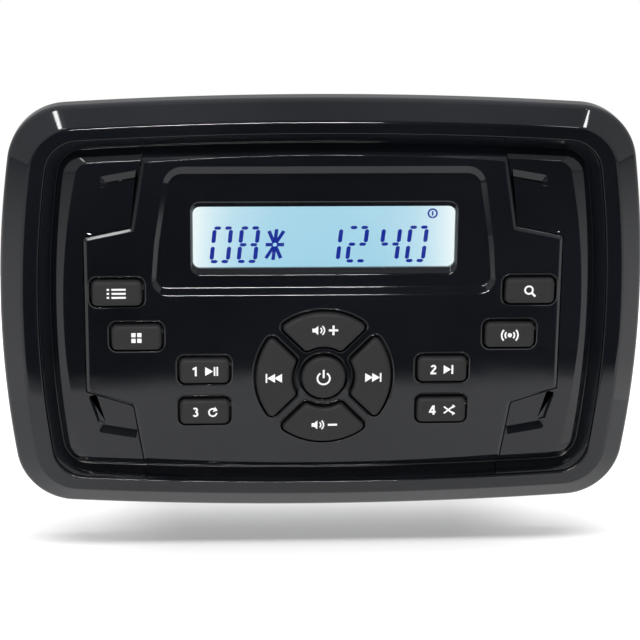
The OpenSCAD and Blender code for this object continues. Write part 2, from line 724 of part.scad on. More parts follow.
module screw_cover(side) {
    color(gloss) {
        difference() {
            fascia(cover_f, cover_ring);
            hollow(cover_f - plate_t);
            slab(trough_back_f - cut, face_f + cut) polygon(seam(-seam_gap));
            block([-side * face_w / 2, 0], [face_w, face_h], trough_back_f - cut, face_f + cut);
            for (level = [-1, 1]) pry_slot(side, level);
        }
        for (p = cover_posts) rod([side * p[0], p[1]], post_r, gasket_t, trough_back_f);
    }
}

module display_lens() {
    color([0.75, 0.85, 0.9, 0.4]) slab(lens_f, plate_back_f)
        translate([0, window_z]) polygon(oblong(lens_w, lens_h, window_r));
}

module lcd_glass() {
    color([0.68, 0.86, 0.95]) slab(lcd_f, lens_f)
        translate([0, window_z]) square([lens_w, lens_h], center = true);
}

module light_guide() {
    color([0.95, 0.97, 1]) slab(flange_f, lcd_f)
        translate([0, window_z]) square([lens_w - 2 * fit_gap, lens_h - 2 * fit_gap], center = true);
}

// Outlines of all thirteen keys, moved in by d
module key_outlines(d) {
    for (at = [select_at, mode_at, one_at, three_at]) for (p = [at, flipped(at)])
        translate(p) polygon(key_oblong(d));
    for (a = [0:90:270]) translate([0, pad_z]) rotate(a) polygon(petal(d));
    translate([0, pad_z]) circle(power_r - d);
}

module keypad_mat() {
    color([0.2, 0.2, 0.21]) slab(board_f, mat_f) difference() {
        square([board_w - 2 * mat_in, board_h - 2 * mat_in], center = true);
        key_outlines(stem_inset - fit_gap);
        translate([0, window_z]) square([lens_w + 2 * fit_gap, lens_h + 2 * fit_gap], center = true);
        for (at = plate_bosses) translate(at) circle(plate_boss_r + fit_gap);
        for (at = board_holes) translate(at) circle(head_r + 2 * fit_gap);
        for (at = lamp_places) translate(at) square(lamp_size + 2 * [fit_gap, fit_gap], center = true);
    }
}

module key_board() {
    color(copper_green) slab(flange_f, board_f) difference() {
        square([board_w, board_h], center = true);
        translate([0, window_z]) square([lens_w + 2 * fit_gap, lens_h + 2 * fit_gap], center = true);
        for (at = plate_bosses) translate(at) circle(plate_boss_r + fit_gap);
        for (at = board_holes) translate(at) circle(hole_r);
    }
}

module contact_pads() {
    color(brass) slab(board_f, board_f + pad_t) {
        for (at = [select_at, mode_at, one_at, three_at]) for (p = [at, flipped(at)])
            translate(p) circle(pad_r);
        for (a = [0:90:270])
            translate([0, pad_z] + (petal_in_r + petal_out_r) / 2 * [cos(a), sin(a)]) circle(pad_r);
        translate([0, pad_z]) circle(pad_r);
    }
}

// Lamps under the keys' flanges, each in its own opening of the mat
module key_lights() {
    color([1, 0.98, 0.9]) for (at = lamp_places) block(at, lamp_size, board_f, board_f + lamp_t);
}

module front_case() {
    color([0.1, 0.1, 0.11]) {
        difference() {
            slab(gasket_t, flange_f) polygon(bowed(case_ring));
            for (at = mount_holes) rod(at, mount_r, gasket_t - cut, flange_f + cut);
            for (side = [-1, 1]) for (p = cover_posts)
                rod([side * p[0], p[1]], post_r + 0.1, gasket_t - cut, flange_f + cut);
            for (at = plate_bosses) rod(at, hole_r, gasket_t - cut, flange_f + cut);
            for (at = board_holes) rod(at, screw_r, gasket_t - cut, flange_f + cut);
            block([0, header_z], [header_w, header_h] + 2 * [fit_gap, fit_gap], gasket_t - cut, flange_f + cut);
        }
        slab(flange_f, trough_back_f) difference() {
            polygon(bowed(shrink(band_ring, fit_gap)));
            polygon(bowed(shrink(band_ring, fit_gap + rib_t)));
        }
        for (x = [-1, 1]) for (z = [-1, 1]) case_lug(x, z * lug_z);
    }
}

// A lug behind the flange, inside the chassis wall, which takes a screw from the side
lug_t = 5;
lug_h = 10;
lug_len = 11;
lug_gap = 1.725;
lug_z = 2 * fine_r + lug_gap + lug_h / 2 - pad_z - boss_wing[1];
lug_x = inner_w / 2 - fit_gap - lug_t / 2;
case_screw_f = gasket_t - lug_len / 2;
module case_lug(side, z) {
    difference() {
        block([side * lug_x, z], [lug_t, lug_h], gasket_t - lug_len, gasket_t);
        translate([side * lug_x, -case_screw_f, z]) rotate([0, 90, 0])
            cylinder(h = 2 * lug_t, r = screw_r, center = true);
    }
}

module panel_gasket() {
    color([0.14, 0.14, 0.15]) slab(0, gasket_t) difference() {
        polygon(bowed(gasket_ring));
        square([chassis_w + 2 * (head_h + fit_gap), chassis_h + 2 * (bead_h + fit_gap)], center = true);
        for (at = mount_holes) translate(at) circle(mount_r);
        for (side = [-1, 1]) for (p = cover_posts)
            translate([side * p[0], p[1]]) circle(post_r + 2 * fit_gap);
    }
}

module plate_screws() {
    color(steel) for (at = plate_bosses) screw(at, gasket_t, trough_back_f, fine_r);
}

module board_screws() {
    color(steel) for (at = board_holes) screw(at, board_f, gasket_t, screw_r);
}

module case_screws() {
    color(steel) for (x = [-1, 1]) for (z = [-1, 1])
        translate([x * chassis_w / 2, -case_screw_f, z * lug_z]) rotate([0, x * 90, 0]) {
            translate([0, 0, -lug_t]) cylinder(h = lug_t, r = screw_r);
            cylinder(h = head_h, r = head_r);
        }
}

// Pressed bead along Y on a wall whose outside faces up
module bead(at, length) {
    translate(at) rotate([0, 0, 90]) intersection() {
        cube([length, 2 * bead_r, 2 * bead_h], center = true);
        translate([0, 0, bead_h - bead_cap_r]) rotate([0, 90, 0])
            cylinder(h = length, r = bead_cap_r, center = true);
    }
}
bead_part = 0.6;
bead_cap_r = (bead_r * bead_r + bead_h * bead_h) / (2 * bead_h);

module chassis_tray() {
    color(steel) {
        difference() {
            slab(rear_f, gasket_t) difference() {
                translate([-chassis_w / 2, -chassis_h / 2]) square([chassis_w, chassis_h - sheet_t]);
                translate([-inner_w / 2, floor_z]) square([inner_w, chassis_h]);
            }
            for (x = [-1, 1]) for (z = [-1, 1])
                translate([x * chassis_w / 2, -case_screw_f, z * lug_z]) rotate([0, 90, 0])
                    cylinder(h = 4 * sheet_t, r = hole_r, center = true);
            for (x = [-1, 1]) for (f = lid_screw_f)
                translate([x * chassis_w / 2, -f, lid_screw_z]) rotate([0, 90, 0])
                    cylinder(h = 4 * sheet_t, r = hole_r, center = true);
        }
        difference() {
            block([0, -sheet_t / 2], [chassis_w, chassis_h - sheet_t], rear_f, rear_f + sheet_t);
            rear_openings();
        }
        for (x = [-1, 1]) mirror([0, 0, 1])
            bead([x * chassis_w / 4, chassis_d / 2, chassis_h / 2], bead_part * chassis_d);
        for (at = main_holes) translate([at[0], at[1], floor_z - sheet_t / 2]) difference() {
            cylinder(h = main_lift + sheet_t / 2, r = 2.2 * screw_r);
            translate([0, 0, -cut]) cylinder(h = main_lift + sheet_t + 2 * cut, r = screw_r);
        }
    }
}

main_side = 6;
main_front = 2;
main_end = 2.5;
main_hole_in = [4, 5];
main_w = inner_w - 2 * main_side;
main_back = chassis_d - sheet_t - main_end;
main_holes = [for (x = [-1, 1]) for (y = [main_front + main_hole_in[1], main_back - main_hole_in[1]])
    [x * (main_w / 2 - main_hole_in[0]), y]];
lid_screw_f = [-0.3 * chassis_d, -0.8 * chassis_d];
lid_screw_z = lid_z - lip_len / 2;

// Openings in the rear wall for whatever passes through it
module rear_openings() {
    back = rear_f - cut;
    front = rear_f + sheet_t + cut;
    block(sink_at, [sink_pad[0] + 2 * fit_gap, sink_pad[1] + 2 * fit_gap], back, front);
    for (at = sink_screws) rod(at, hole_r, back, front);
    block(harness_at, harness_body + 2 * [fit_gap, fit_gap], back, front);
    rod(antenna_at, antenna_r + socket_wall + fit_gap, back, front);
    for (at = line_at) rod(at, line_r + fit_gap, back, front);
    block(fuse_at, fuse_body + 2 * [fit_gap, fit_gap], back, front);
    rod(stud_at, neck_r + 0.1, back, front);
}

harness_body = [harness_w + 2 * socket_wall, harness_h + 2 * socket_wall];
fuse_body = [9, 16];
fuse_wall = 1.5;
sink_hole_in = 4;
sink_screws = [for (x = [-1, 1]) for (z = [-1, 1])
    sink_at + [x * (sink_w / 2 - sink_hole_in), z * (sink_h / 2 - sink_hole_in)]];

module chassis_lid() {
    lip_w = inner_w - 2 * fit_gap;
    color(steel) {
        translate([-chassis_w / 2, -gasket_t, lid_z]) cube([chassis_w, chassis_d + gasket_t, sheet_t]);
        difference() {
            for (x = [-1, 1])
                translate([x * (lip_w - sheet_t) / 2 - sheet_t / 2, lug_len, lid_z - lip_len])
                    cube([sheet_t, chassis_d - lug_len - sheet_t - fit_gap, lip_len]);
            for (x = [-1, 1]) for (f = lid_screw_f)
                translate([x * lip_w / 2, -f, lid_screw_z]) rotate([0, 90, 0])
                    cylinder(h = 4 * sheet_t, r = screw_r, center = true);
        }
        for (x = [-1, 1]) bead([x * chassis_w / 4, chassis_d / 2, chassis_h / 2], bead_part * chassis_d);
    }
}

module lid_screws() {
    color(steel) for (x = [-1, 1]) for (f = lid_screw_f)
        translate([x * chassis_w / 2, -f, lid_screw_z]) rotate([0, x * 90, 0]) {
            translate([0, 0, -3 * sheet_t]) cylinder(h = 3 * sheet_t, r = screw_r);
            cylinder(h = head_h, r = head_r);
        }
}

module main_board() {
    color(copper_green) difference() {
        translate([-main_w / 2, main_front, main_z - main_t]) cube([main_w, main_back - main_front, main_t]);
        for (at = main_holes)
            translate([at[0], at[1], main_z - 2 * main_t]) cylinder(h = 3 * main_t, r = hole_r);
    }
}

module main_board_screws() {
    color(steel) for (at = main_holes) {
        translate([at[0], at[1], main_z - main_lift]) cylinder(h = main_lift, r = screw_r);
        translate([at[0], at[1], main_z]) cylinder(h = head_h, r = head_r);
    }
}

// Link between the main board and the key board, through the case
header_w = 30;
header_h = 6;
header_z = main_z + header_h / 2;
header_len = 6;
module header_socket() {
    color([0.12, 0.12, 0.13]) block([0, header_z], [header_w, header_h], -main_front + fit_gap, flange_f);
}

module header_pins() {
    color([0.9, 0.88, 0.8])
        block([0, header_z], [header_w, header_h], -main_front - header_len, -main_front);
}

// Stands a part on the main board, at a share of the board's width and a distance from its rear edge
module on_board(share, in) {
    translate([share * main_w, main_back - in, main_z]) children();
}

// Stands a part on the main board, at a share of the board's width and a gap behind the header
module behind_header(share, gap, depth) {
    translate([share * main_w, main_front + header_len + gap + depth / 2, main_z]) children();
}

chip_t = 4.5;
chip_w = 30;
chip_lift = 6;
leg_pitch = 2.4;
leg_size = [0.8, 0.5];
module amplifier_chip() {
    back = -rear_f - pad_depth;
    color([0.13, 0.13, 0.14]) {
        translate([-chip_w / 2, back - chip_t, main_z + chip_lift])
            cube([chip_w, chip_t, sink_at[1] - main_z]);
        for (i = [-5:5])
            translate([i * leg_pitch - leg_size[0] / 2, back - (chip_t + leg_size[1]) / 2, main_z])
                cube([leg_size[0], leg_size[1], chip_lift + leg_size[1]]);
    }
}

// Cans as [share of the board's width, distance from its rear edge, radius, height]
can_spec = [[-0.377, 27.5, 6.3, 25], [-0.236, 27.5, 6.3, 25], [-0.377, 12.5, 5, 20], [-0.26, 12.5, 4, 16]];
can_crimp = 0.5;
can_crimp_z = 2.1;
module filter_capacitors() {
    color([0.12, 0.16, 0.3]) for (c = can_spec) on_board(c[0], c[1]) rotate_extrude()
        polygon([[0, 0], [c[2], 0], [c[2], can_crimp_z - can_crimp], [c[2] - can_crimp, can_crimp_z],
            [c[2], can_crimp_z + can_crimp], [c[2], c[3] - can_crimp], [c[2] - can_crimp, c[3]], [0, c[3]]]);
}

coil_r = 6;
coil_wire_r = 2.8;
coil_gap = 2.2;
module choke_coil() {
    color([0.7, 0.38, 0.16]) behind_header(-0.066, coil_gap, 2 * (coil_r + coil_wire_r))
        translate([0, 0, coil_wire_r]) rotate_extrude() translate([coil_r, 0]) circle(coil_wire_r);
}

tuner_size = [24, 16, 9];
tuner_in = 16.5;
tuner_dimples = 5;
module tuner_can() {
    pitch = tuner_size[0] / (tuner_dimples + 1);
    color([0.78, 0.79, 0.8]) on_board(0.32, tuner_in) difference() {
        translate([0, 0, tuner_size[2] / 2]) cube(tuner_size, center = true);
        for (i = [1:tuner_dimples])
            translate([i * pitch - tuner_size[0] / 2, 0, tuner_size[2]])
                cylinder(h = cut, r = pitch / 4, center = true);
    }
}

control_size = [12, 12, 1.6];
control_leg = [0.4, 14, 0.5];
control_gap = 3;
module control_chip() {
    color([0.1, 0.1, 0.11]) behind_header(0.113, control_gap, control_leg[1]) {
        translate([0, 0, control_size[2] / 2]) cube(control_size, center = true);
        for (i = [-4:4])
            translate([i * 3 * control_leg[0], 0, control_leg[2] / 2]) cube(control_leg, center = true);
    }
}

module_size = [18, 10, 0.8];
shield_size = [11, 8, 2.6];
module_in = 30.5;
module wireless_module() {
    color([0.1, 0.25, 0.5]) on_board(0.33, module_in) {
        translate([0, 0, module_size[2] / 2]) cube(module_size, center = true);
        translate([(shield_size[0] - module_size[0]) / 2 + cut, 0, shield_size[2] / 2])
            cube(shield_size, center = true);
    }
}

module heat_sink() {
    pitch = (sink_w - fin_t) / (fin_count - 1);
    color([0.2, 0.2, 0.21]) {
        difference() {
            block(sink_at, [sink_w, sink_h], sink_f, rear_f);
            for (at = sink_screws) rod(at, hole_r, sink_f - cut, rear_f + cut);
        }
        block(sink_at, sink_pad, rear_f, rear_f + pad_depth);
        for (i = [0:fin_count - 1])
            if (i > 1 && i < fin_count - 2)
                fin(sink_at[0] - sink_w / 2 + fin_t / 2 + i * pitch, sink_h);
        for (i = [0, 1, fin_count - 2, fin_count - 1])
            fin(sink_at[0] - sink_w / 2 + fin_t / 2 + i * pitch, sink_h - 4 * sink_hole_in);
    }
}

// A fin with a rounded tip
module fin(x, h) {
    block([x, sink_at[1]], [fin_t, h], sink_f - fin_d + fin_t / 2, sink_f);
    translate([x, -sink_f + fin_d - fin_t / 2, sink_at[1]]) cylinder(h = h, r = fin_t / 2, center = true);
}

module heat_sink_screws() {
    color(steel) for (at = sink_screws) screw(at, sink_f, rear_f + 3 * sheet_t, screw_r);
}

antenna_out = 6;
module antenna_socket() {
    wall_r = antenna_r + socket_wall;
    mouth = rear_f - antenna_out;
    base = mouth + antenna_depth;
    color(steel) translate([antenna_at[0], 0, antenna_at[1]]) rotate([90, 0, 0]) rotate_extrude()
        polygon([[0, base + socket_wall], [wall_r, base + socket_wall], [wall_r, rear_f],
            [wall_r + flange_reach, rear_f], [wall_r + flange_reach, rear_f - flange_out],
            [wall_r, rear_f - flange_out], [wall_r, mouth], [antenna_r, mouth], [antenna_r, base],
            [0, base]]);
}

harness_in = 4;
harness_key = [5, 5];
pin_w = 0.9;
pin_setback = 5.2;
pin_rows = 2;
pin_columns = 8;
harness_mouth_f = rear_f + harness_in - harness_d;
harness_end_f = rear_f + sheet_t + harness_in + 1;
pin_pitch = harness_w / (pin_columns + 0.4);
harness_pin_at = [for (i = [0:pin_columns - 1]) for (z = [-1, 1])
    harness_at + [(i - (pin_columns - 1) / 2) * pin_pitch, z * harness_h / (2 * pin_rows)]];
module harness_socket() {
    mouth = harness_mouth_f;
    color([0.12, 0.12, 0.13]) {
        difference() {
            block(harness_at, harness_body, mouth, harness_end_f);
            block(harness_at, [harness_w, harness_h], mouth - cut, mouth + harness_d);
            block(harness_at + [0, harness_body[1] / 2], [harness_key[0], 2.2 * socket_wall], mouth - cut,
                mouth + harness_key[1]);
            for (p = harness_pin_at) block(p, [pin_w, pin_w], mouth, harness_end_f + cut);
        }
        difference() {
            block(harness_at, harness_body + 2 * [flange_reach, flange_reach], rear_f - flange_out, rear_f);
            block(harness_at, harness_body, rear_f - 2 * flange_out, rear_f + cut);
        }
    }
}

module harness_pins() {
    color(brass) for (p = harness_pin_at)
        block(p, [pin_w, pin_w], harness_mouth_f + pin_setback, harness_end_f + cut);
}

line_wall = 0.6;
line_out = 8;
line_in = 5;
line_base_f = rear_f + sheet_t;
module line_sockets() {
    face = rear_f - line_out;
    color([0.8, 0.78, 0.74]) for (at = line_at)
        translate([at[0], 0, at[1]]) rotate([90, 0, 0]) rotate_extrude()
            polygon([[0, rear_f + line_in], [line_r, rear_f + line_in], [line_r, rear_f],
                [line_r + flange_reach, rear_f], [line_r + flange_reach, rear_f - flange_out],
                [line_r, rear_f - flange_out], [line_r, face], [line_r - line_wall, face],
                [line_r - line_wall, face + line_wall], [line_bore_r, face + line_wall],
                [line_bore_r, line_base_f], [0, line_base_f]]);
}

fuse_out = 4;
fuse_in = 4;
fuse_proud = 3;
fuse_prong = 3;
module fuse_holder() {
    pocket = fuse_body - 2 * [fuse_wall, fuse_wall];
    color([0.12, 0.12, 0.13]) {
        difference() {
            block(fuse_at, fuse_body, rear_f - fuse_out, rear_f + sheet_t + fuse_in);
            block(fuse_at, pocket, rear_f - fuse_out - cut, rear_f + sheet_t);
        }
        difference() {
            block(fuse_at, fuse_body + 2 * [flange_out, flange_out], rear_f - flange_out, rear_f);
            block(fuse_at, fuse_body, rear_f - 2 * flange_out, rear_f + cut);
        }
    }
}

module blade_fuse() {
    gap = fuse_wall + fit_gap;
    size = fuse_body - 2 * [gap, gap];
    seat = rear_f - fuse_out / 2;
    color([0.85, 0.25, 0.15]) {
        block(fuse_at, size, rear_f - fuse_out - fuse_proud, seat);
        for (z = [-1, 1])
            block(fuse_at + [0, z * size[1] / 3.4], [size[0] / 3, fuse_prong], seat, rear_f + sheet_t);
    }
}

// Headed stud: a thicker neck through the wall and its nut, then the free end with a chamfered tip
nut_h = 0.8 * stud_r;
neck_r = stud_r + 0.2;
neck_len = 0.4;
tip = 0.5;
stud_head_t = 1.4;
module support_stud() {
    neck_f = rear_f - nut_h - neck_len;
    head_f = rear_f + sheet_t;
    color(steel) translate([stud_at[0], 0, stud_at[1]]) rotate([90, 0, 0]) rotate_extrude()
        polygon([[0, neck_f - stud_len], [stud_r - tip, neck_f - stud_len], [stud_r, neck_f - stud_len + tip],
            [stud_r, neck_f], [neck_r, neck_f], [neck_r, head_f], [stud_head_r, head_f],
            [stud_head_r, head_f + stud_head_t], [0, head_f + stud_head_t]]);
}

module stud_nut() {
    color(steel) difference() {
        translate([stud_at[0], -rear_f, stud_at[1]]) rotate([-90, 0, 0])
            cylinder(h = nut_h, r = 1.85 * stud_r, $fn = 6);
        rod(stud_at, neck_r, rear_f - nut_h - cut, rear_f + cut);
    }
}

front_frame();
centre_plate();
screw_cover(-1);  // left_screw_cover
screw_cover(1);  // right_screw_cover
display_lens();
lcd_glass();
light_guide();
oblong_key(flipped(select_at));  // key_select
oblong_key(flipped(mode_at));  // key_mode
oblong_key(select_at);  // key_scan
oblong_key(mode_at);  // key_band
oblong_key(flipped(one_at));  // key_1
oblong_key(one_at);  // key_2
oblong_key(flipped(three_at));  // key_3
oblong_key(three_at);  // key_4
petal_key(90);  // key_volume_up
petal_key(270);  // key_volume_down
petal_key(180);  // key_previous
petal_key(0);  // key_next
round_key();  // key_power
keypad_mat();
key_board();
contact_pads();
key_lights();
front_case();
panel_gasket();
plate_screws();
board_screws();
case_screws();
chassis_tray();
chassis_lid();
lid_screws();
main_board();
main_board_screws();
header_pins();
header_socket();
amplifier_chip();
filter_capacitors();
choke_coil();
tuner_can();
control_chip();
wireless_module();
heat_sink();
heat_sink_screws();
antenna_socket();
harness_socket();
harness_pins();
line_sockets();
fuse_holder();
blade_fuse();
support_stud();
stud_nut();
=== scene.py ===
"""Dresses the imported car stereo: gloss trim, lit display, rubber keys and a studio table."""

import json
import math

import bmesh
import bpy
import numpy as np
from bpy.props import FloatProperty, FloatVectorProperty, PointerProperty
from mathutils import Matrix, Vector
from mathutils.geometry import tessellate_polygon


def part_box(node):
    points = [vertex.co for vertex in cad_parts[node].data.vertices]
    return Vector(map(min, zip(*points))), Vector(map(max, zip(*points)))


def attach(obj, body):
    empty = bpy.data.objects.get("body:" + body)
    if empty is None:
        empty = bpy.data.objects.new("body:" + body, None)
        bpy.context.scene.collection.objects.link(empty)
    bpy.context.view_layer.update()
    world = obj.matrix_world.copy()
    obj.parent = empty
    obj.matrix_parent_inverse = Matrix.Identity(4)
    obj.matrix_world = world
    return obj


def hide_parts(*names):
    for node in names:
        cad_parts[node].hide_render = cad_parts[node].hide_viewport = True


bl_info = {
    "name": "Car stereo dressing",
    "version": (1, 0, 0),
    "blender": (4, 5, 0),
    "location": "View3D > Sidebar > Stereo",
    "description": "Builds the visible skin, legends, display and studio of a flush-mounted car stereo",
    "category": "Object",
}

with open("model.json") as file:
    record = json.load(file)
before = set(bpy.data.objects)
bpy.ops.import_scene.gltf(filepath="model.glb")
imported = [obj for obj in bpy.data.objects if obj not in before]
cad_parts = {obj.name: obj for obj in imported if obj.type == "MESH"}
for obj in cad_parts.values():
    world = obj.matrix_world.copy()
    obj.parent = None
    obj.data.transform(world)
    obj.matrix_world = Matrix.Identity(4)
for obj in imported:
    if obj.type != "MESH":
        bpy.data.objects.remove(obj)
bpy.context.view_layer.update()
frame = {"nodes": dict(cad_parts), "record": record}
MM = 0.001
HOUSING = "housing"
FRAME_LOW, FRAME_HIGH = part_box("front_frame")
FACE_F = -FRAME_LOW.y
PANE_LOW, PANE_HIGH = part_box("display_lens")
PANE_W, PANE_H = PANE_HIGH.x - PANE_LOW.x, PANE_HIGH.z - PANE_LOW.z
OBLONG_KEYS = ("key_select", "key_mode", "key_scan", "key_band", "key_1", "key_2", "key_3", "key_4")
PETAL_KEYS = {"key_next": 0, "key_volume_up": 90, "key_previous": 180, "key_volume_down": 270}
KEYS = (*OBLONG_KEYS, *PETAL_KEYS, "key_power")
WHITE = (1, 1, 1, 1)


def size(value, note):
    """A length setting whose default is given in millimetres."""
    return FloatProperty(description=note, default=value * MM, unit="LENGTH", precision=5)


def angle(value, note):
    """An angle setting whose default is given in degrees."""
    return FloatProperty(description=note, default=math.radians(value), subtype="ANGLE")


def amount(value, note):
    """A plain number setting."""
    return FloatProperty(description=note, default=value)


def tint(value, note):
    """A colour setting, with red, green and blue as light amounts."""
    return FloatVectorProperty(description=note, default=value, subtype="COLOR", min=0, max=1)


def spot(value, note):
    """A point setting in metres."""
    return FloatVectorProperty(description=note, default=value, unit="LENGTH")


class StereoTrimSizes(bpy.types.PropertyGroup):
    """Sizes of the trim frame round the face."""

    half_w: size(FRAME_HIGH.x / MM, "From the middle to the left or right edge")
    half_h: size(FRAME_HIGH.z / MM, "From the middle to the top or bottom edge")
    side_bow: size(264, "Bow radius of the left and right edges")
    top_bow: size(1100, "Bow radius of the top and bottom edges")
    corner: size(15.4, "Radius of the outer corners")
    bevel_side: size(5.8, "Width of the bevel at the left and right")
    bevel_top: size(5.1, "Width of the bevel at the top and bottom")
    bevel_depth: size(4.6, "How far back the bevel starts")
    bevel_corner: size(11.2, "Corner radius where the bevel meets the band")
    band_side: size(4.1, "Width of the flat band at the left and right")
    band_top: size(3.25, "Width of the flat band at the top and bottom")
    band_corner: size(8.8, "Corner radius of the band's inner edge")
    wall: size(2, "Wall thickness of the frame")
    lift: size(0.4, "Gap between the frame and the panel")
    seat: size(3.5, "From the panel to the flange behind the frame")
    edge: size(0.55, "Length of the rounding at the moulded edges")


class StereoPlateSizes(bpy.types.PropertyGroup):
    """Sizes of the key plate and of the screw covers beside it."""

    trough_side: size(2.9, "Width of the trough's outer slope at the left and right")
    trough_top: size(2.7, "Width of the trough's outer slope at the top and bottom")
    trough_depth: size(4, "Depth of the trough's foot below the plate")
    trough_wall: size(0.4, "Thickness of the trough's floor")
    trough_lip: size(0.6, "How far below the face the trough starts beside the frame")
    rim_lean: size(1.55, "How far the steep part of the rim leans in")
    rim_rise: size(1.7, "Height of the sloping part of the rim")
    cover_set: size(1.45, "How much further in a cover's flat starts than the rim")
    cover_in: size(0.35, "How much narrower the covers' flats are than the rim, at each side")
    cover_bow: size(165, "Bow radius of the outer edge of a cover's flat")
    cover_corner: size(2.5, "Corner radius of a cover's flat")
    brow: size(1.31, "Width of the steep slope above and below a cover's flat")
    foot_corner: size(6.85, "Corner radius at the foot of the rim")
    rim_side: size(3.2, "From the foot to the top of the rim at the left and right")
    rim_top: size(2.55, "From the foot to the top of the rim at the top and bottom")
    rim_corner: size(3.7, "Corner radius at the top of the rim")
    rim_side_bow: size(168, "Bow radius of the rim's left and right edges")
    rim_top_bow: size(590, "Bow radius of the rim's top and bottom edges")
    proud: size(0.6, "How far the plate stands above the covers")
    chamfer: size(0.8, "Width of the plate's chamfer along the seams")
    gap: size(0.2, "Gap between the plate, the covers and the frame")
    cover_w: size(5.7, "Width of a cover beside the plate's wing")
    wing_top: size(19.5, "Top of the wings above the middle")
    wing_bottom: size(21.1, "Bottom of the wings below the middle")
    tab_w: size(12, "How far a cover's tab reaches over the wing")
    tab_rise: size(2.5, "Rise of the upper edge of the wings")
    tab_fall: size(3.9, "Fall of the lower edge of the wings")
    lean: angle(9.4, "Lean of the seams to the top and bottom")
    slot_in_top: size(4.6, "From the wing's edge to the end of an upper slot")
    slot_in_bottom: size(3, "From the wing's edge to the end of a lower slot")
    slot_drop: size(6.6, "From the rim's top down to the upper slots")
    slot_rise: size(9.8, "From the rim's bottom up to the lower slots")
    slot_h: size(2.3, "Height of a pry slot")
    slot_depth: size(0.58, "Depth of a pry slot")
    slot_tilt: angle(10, "Slope of the pry slots")
    channel_top: size(0.09, "Depth of the channels from the upper slots to the wing's corners")
    channel_bottom: size(0.2, "Depth of the channels from the lower slots to the wing's corners")
    channel_w: size(2.2, "Width of the channel from a slot to the wing's corner")
    channel_in: size(1.4, "From the wing's edge to the end of the channel")
    edge: size(0.3, "Length of the rounding at the moulded edges")


class StereoDisplaySizes(bpy.types.PropertyGroup):
    """Sizes of the display recess, its window and the figures."""

    drop: size(2.9, "From the rim's top down to the recess")
    rise: size(21.7, "From the middle of the pad up to the recess")
    inward: size(16.6, "From the wing's edge in to the foot of the recess")
    waist: size(1, "How far the recess narrows from its foot to its waist")
    taper: size(3, "How far the recess narrows from its waist to its top")
    waist_part: amount(0.4, "Place of the waist in the height of the recess")
    top_r: size(5.2, "Radius of the upper corners of the recess")
    mid_r: size(60, "Radius that blends the waist")
    bottom_r: size(4.4, "Radius of the lower corners of the recess")
    rim: size(1.95, "Width of the sloping rim of the recess")
    rim_part: amount(0.75, "Share of that width at the left and right")
    depth: size(0.8, "Depth of the recess")
    border: size(1.6, "How far the pane reaches round the window")
    window_r: size(2.4, "Corner radius of the window")
    sill_h: size(1.5, "How far the sill slopes in at the top and bottom")
    sill_w: size(0.6, "How far the sill slopes in at the left and right")
    figure_h: size(9.6, "Height of a figure on the display")
    figure_w: size(5.2, "Width of a figure on the display")
    figure_up: size(17, "Height of the figures above the middle of the set")
    stroke: size(1.05, "Width of a figure's bars")
    bar_gap: size(0.42, "Half the gap between two bars of a figure")
    ink: size(0.05, "Half the thickness of the figures")
    slant: amount(0.11, "Sideways shift of a figure for its height")


class StereoKeySizes(bpy.types.PropertyGroup):
    """Sizes of the rubber keys and their openings."""

    grip: size(0.85, "How far a key's hidden flange reaches past its cap")
    corner: size(1.4, "Corner radius of an oblong key")
    edge: size(1.0, "Rounding of the edge of a key's top")
    gap: size(0.5, "Gap between a key and its opening")
    room: size(1.1, "From the mat under the keys to the foot of a key's wall")
    lip: size(0.5, "Width of the raised lip round an opening")
    lip_h: size(0.19, "How far the lip round an opening stands up")
    petal_out: size(17.4, "Outer radius of the petals")
    petal_in: size(8.1, "Inner radius of the petals")
    web: size(1.6, "Half width of the web between two petals")
    petal_corner: size(1.3, "Corner radius of the petals")
    print_t: size(0.03, "Thickness of the printed legends")


class StereoColours(bpy.types.PropertyGroup):
    """Colours of the finishes."""

    gloss: tint((0.0062, 0.0071, 0.0094), "Polished plastic of the face")
    rubber: tint((0.0105, 0.0105, 0.0125), "Matte rubber of the keys")
    # The print's colour is also the colour of its painted glow.
    legend: tint((0.86, 0.86, 0.86), "Print on the keys")
    lit: tint((0.37, 0.68, 0.83), "Middle of the lit display")
    lit_ends: tint((0.9, 1.0, 1.0), "Display beside its lamps")
    figure: tint((0.004, 0.022, 0.32), "Bars of the figures on the display")


class StereoStage(bpy.types.PropertyGroup):
    """Camera, table and lamps."""

    floor_z: size(-63.6, "Height of the table top")
    floor_front: size(-151, "How far the pale table reaches towards the camera in reflections")
    eye: spot((-0.03121, -0.52508, 0.14972), "Where the camera stands")
    target: spot((-0.00085, -0.008, -0.00292), "What the camera looks at")
    roll: angle(0.55, "Turn of the camera about its view")
    lens: amount(118.24, "Focal length in millimetres for a 36 mm frame")
    sky: amount(1.0, "Strength of the pale surroundings")
    sheen: amount(0.58, "Strength of the surroundings in reflections")
    fill: amount(0.38, "Strength of the surroundings on matte surfaces")


def ray(degrees):
    """The direction at an angle from the right, anticlockwise."""
    return np.array([math.cos(math.radians(degrees)), math.sin(math.radians(degrees))])


def bearing(v):
    """Angle of a direction, in degrees."""
    return math.degrees(math.atan2(v[1], v[0]))


def arc(centre, radius, start, stop, count):
    """Points on a circle: the centre plus the radius times the cosine and sine of angles, in degrees, spread
    evenly from start to stop."""
    a = np.radians(np.linspace(start, stop, count))
    return np.asarray(centre, float) + radius * np.stack([np.cos(a), np.sin(a)], 1)


def unit(v):
    """Each row divided by its length."""
    return v / np.linalg.norm(v, axis=-1, keepdims=True)


def across_of(v):
    """Each direction turned left by a right angle."""
    return np.stack([-v[..., 1], v[..., 0]], -1)


def mitred(points, d):
    """A closed outline moved in by d: each corner moves along the sum of its two edge normals, divided by one
    plus their product."""
    a = across_of(unit(points - np.roll(points, 1, 0)))
    b = across_of(unit(np.roll(points, -1, 0) - points))
    return points + d * (a + b) / (1 + (a * b).sum(1))[:, None]


